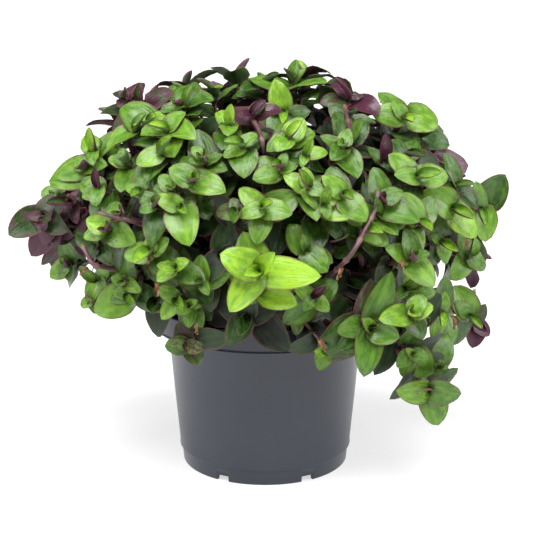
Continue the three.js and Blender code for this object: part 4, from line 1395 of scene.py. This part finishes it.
# Dried brown leaves that are still stuck among the green ones, each as its place and its length
DRIED_LEAVES = [
    ((-97, -35, 151), 5),
    ((-68, -70, 148), 5),
    ((-53, -84, 132), 5),
    ((-85, -68, 122), 6),
    ((-50, -88, 120), 7),
    ((-32, -96, 102), 5),
    ((25, -97, 95), 7),
    ((35, -92, 128), 6),
    ((99, -49, 132), 6),
    ((64, -80, 129), 5),
    ((91, -65, 97), 7),
]


def dried_leaf(place, length, rng):
    """A crumpled, curled scrap that hangs down where an old leaf has died."""
    at = np.array(place, float)
    spec = leaf(at, tip_axis(at), rng.uniform(220, 320), length, (0.2, 0.5), rng, 6.0)
    spec.update(cup=2.0, ripple=0.9, twist=rng.uniform(-60, 60), droop=60.0, width=0.5)
    return spec


def build_dried_leaves(shoots):
    """Each scrap belongs to the shoot with the nearest tip."""
    rng = random.Random(9)
    held = {}
    for place, length in DRIED_LEAVES:
        name = min(
            shoots,
            key=lambda key: min(np.linalg.norm(path[-1] - place) for path in shoots[key]["stems"]),
        )
        held.setdefault(name, []).append(dried_leaf(place, length, rng))
    material = dried_leaf_material()
    for name, specs in held.items():
        piece = leaves_object(f"shoot_{name}_dried", specs, [material, material])
        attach(piece, "root")
        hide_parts("shoot_" + name)


def build_shoots():
    upper, under, stem = leaf_top_material(), leaf_underside_material(), stem_material()
    shoots = grow_shoots()
    for name, shoot in shoots.items():
        node = "shoot_" + name
        slot = "purple_growth" if "purple" in name or "tube" in name else "green_growth"
        leaves = leaves_object(node + "_leaves", shoot["leaves"], [upper, under])
        stems = stems_object(node + "_stems", shoot["stems"], stem)
        for piece in (leaves, stems):
            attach(piece, "root")
            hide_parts(node)
    build_dried_leaves(shoots)


def build_vessel():
    pot = build_pot()
    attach(pot, "root")
    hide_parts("pot")
    for piece in build_soil():
        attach(piece, "root")
        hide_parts("potting_soil")


# ---------- floor, light and camera ----------

WORLD_HORIZON = 0.75
WORLD_ZENITH = 0.2
OVERHEAD_ENERGY = 4.5
OVERHEAD_ANGLE = 42.0
SIDE_LIGHT_WATTS = 15
SIDE_LIGHT_SIZE = 1.0
SIDE_LIGHTS = {"left": (-1.25, -0.35, 0.75), "right": (1.25, -0.35, 0.75)}
SIDE_LIGHT_AIM = (0, 0, 0.05)
FLOOR_SIZE = 12

# The camera in metres, millimetres of film and degrees
CAMERA_PLACE = (0, -0.75548, 0.29904)
CAMERA_PITCH = 14.38
CAMERA_LENS = 99.88
CAMERA_SENSOR = 36.0
CAMERA_SHIFT = 0.00266


def area_light(name, place, aim, size, watts):
    light = bpy.data.lights.new(name, "AREA")
    light.shape = "DISK"
    light.size = size
    light.energy = watts
    obj = bpy.data.objects.new(name, light)
    obj.location = place
    obj.rotation_euler = (Vector(aim) - Vector(place)).to_track_quat("-Z", "Y").to_euler()
    bpy.context.scene.collection.objects.link(obj)


def build_world():
    """A white surround, brightest at the horizon and dimmer overhead."""
    world = bpy.data.worlds.new("studio")
    world.use_nodes = True
    nodes, links = world.node_tree.nodes, world.node_tree.links
    background = nodes["Background"]
    background.inputs["Color"].default_value = (1, 1, 1, 1)
    direction = nodes.new("ShaderNodeTexCoord").outputs["Generated"]
    split = nodes.new("ShaderNodeSeparateXYZ")
    links.new(direction, split.inputs[0])
    fade = nodes.new("ShaderNodeMapRange")
    fade.inputs["From Min"].default_value = 0.02
    fade.inputs["From Max"].default_value = 0.12
    fade.inputs["To Min"].default_value = WORLD_HORIZON
    fade.inputs["To Max"].default_value = WORLD_ZENITH
    links.new(split.outputs[2], fade.inputs["Value"])
    links.new(fade.outputs[0], background.inputs["Strength"])
    bpy.context.scene.world = world


def build_studio():
    bpy.ops.mesh.primitive_plane_add(size=FLOOR_SIZE)
    floor = bpy.context.object
    floor.name = "floor"
    floor.data.materials.append(floor_material())
    build_world()
    sun = bpy.data.lights.new("overhead", "SUN")
    sun.energy = OVERHEAD_ENERGY
    sun.angle = math.radians(OVERHEAD_ANGLE)
    overhead = bpy.data.objects.new("overhead", sun)
    overhead.rotation_euler = (math.radians(22), math.radians(-2), 0)
    bpy.context.scene.collection.objects.link(overhead)
    for name, place in SIDE_LIGHTS.items():
        area_light(name, place, SIDE_LIGHT_AIM, SIDE_LIGHT_SIZE, SIDE_LIGHT_WATTS)
    bpy.context.scene.view_settings.view_transform = "Standard"


def build_camera():
    camera = bpy.data.cameras.new("camera")
    camera.sensor_width = CAMERA_SENSOR
    camera.lens = CAMERA_LENS
    camera.shift_x = CAMERA_SHIFT
    camera.clip_start = 0.05
    obj = bpy.data.objects.new("camera", camera)
    obj.location = CAMERA_PLACE
    obj.rotation_euler = (math.radians(90 - CAMERA_PITCH), 0, 0)
    bpy.context.scene.collection.objects.link(obj)
    bpy.context.scene.camera = obj


build_vessel()
build_shoots()
build_studio()
build_camera()

bpy.context.view_layer.update()
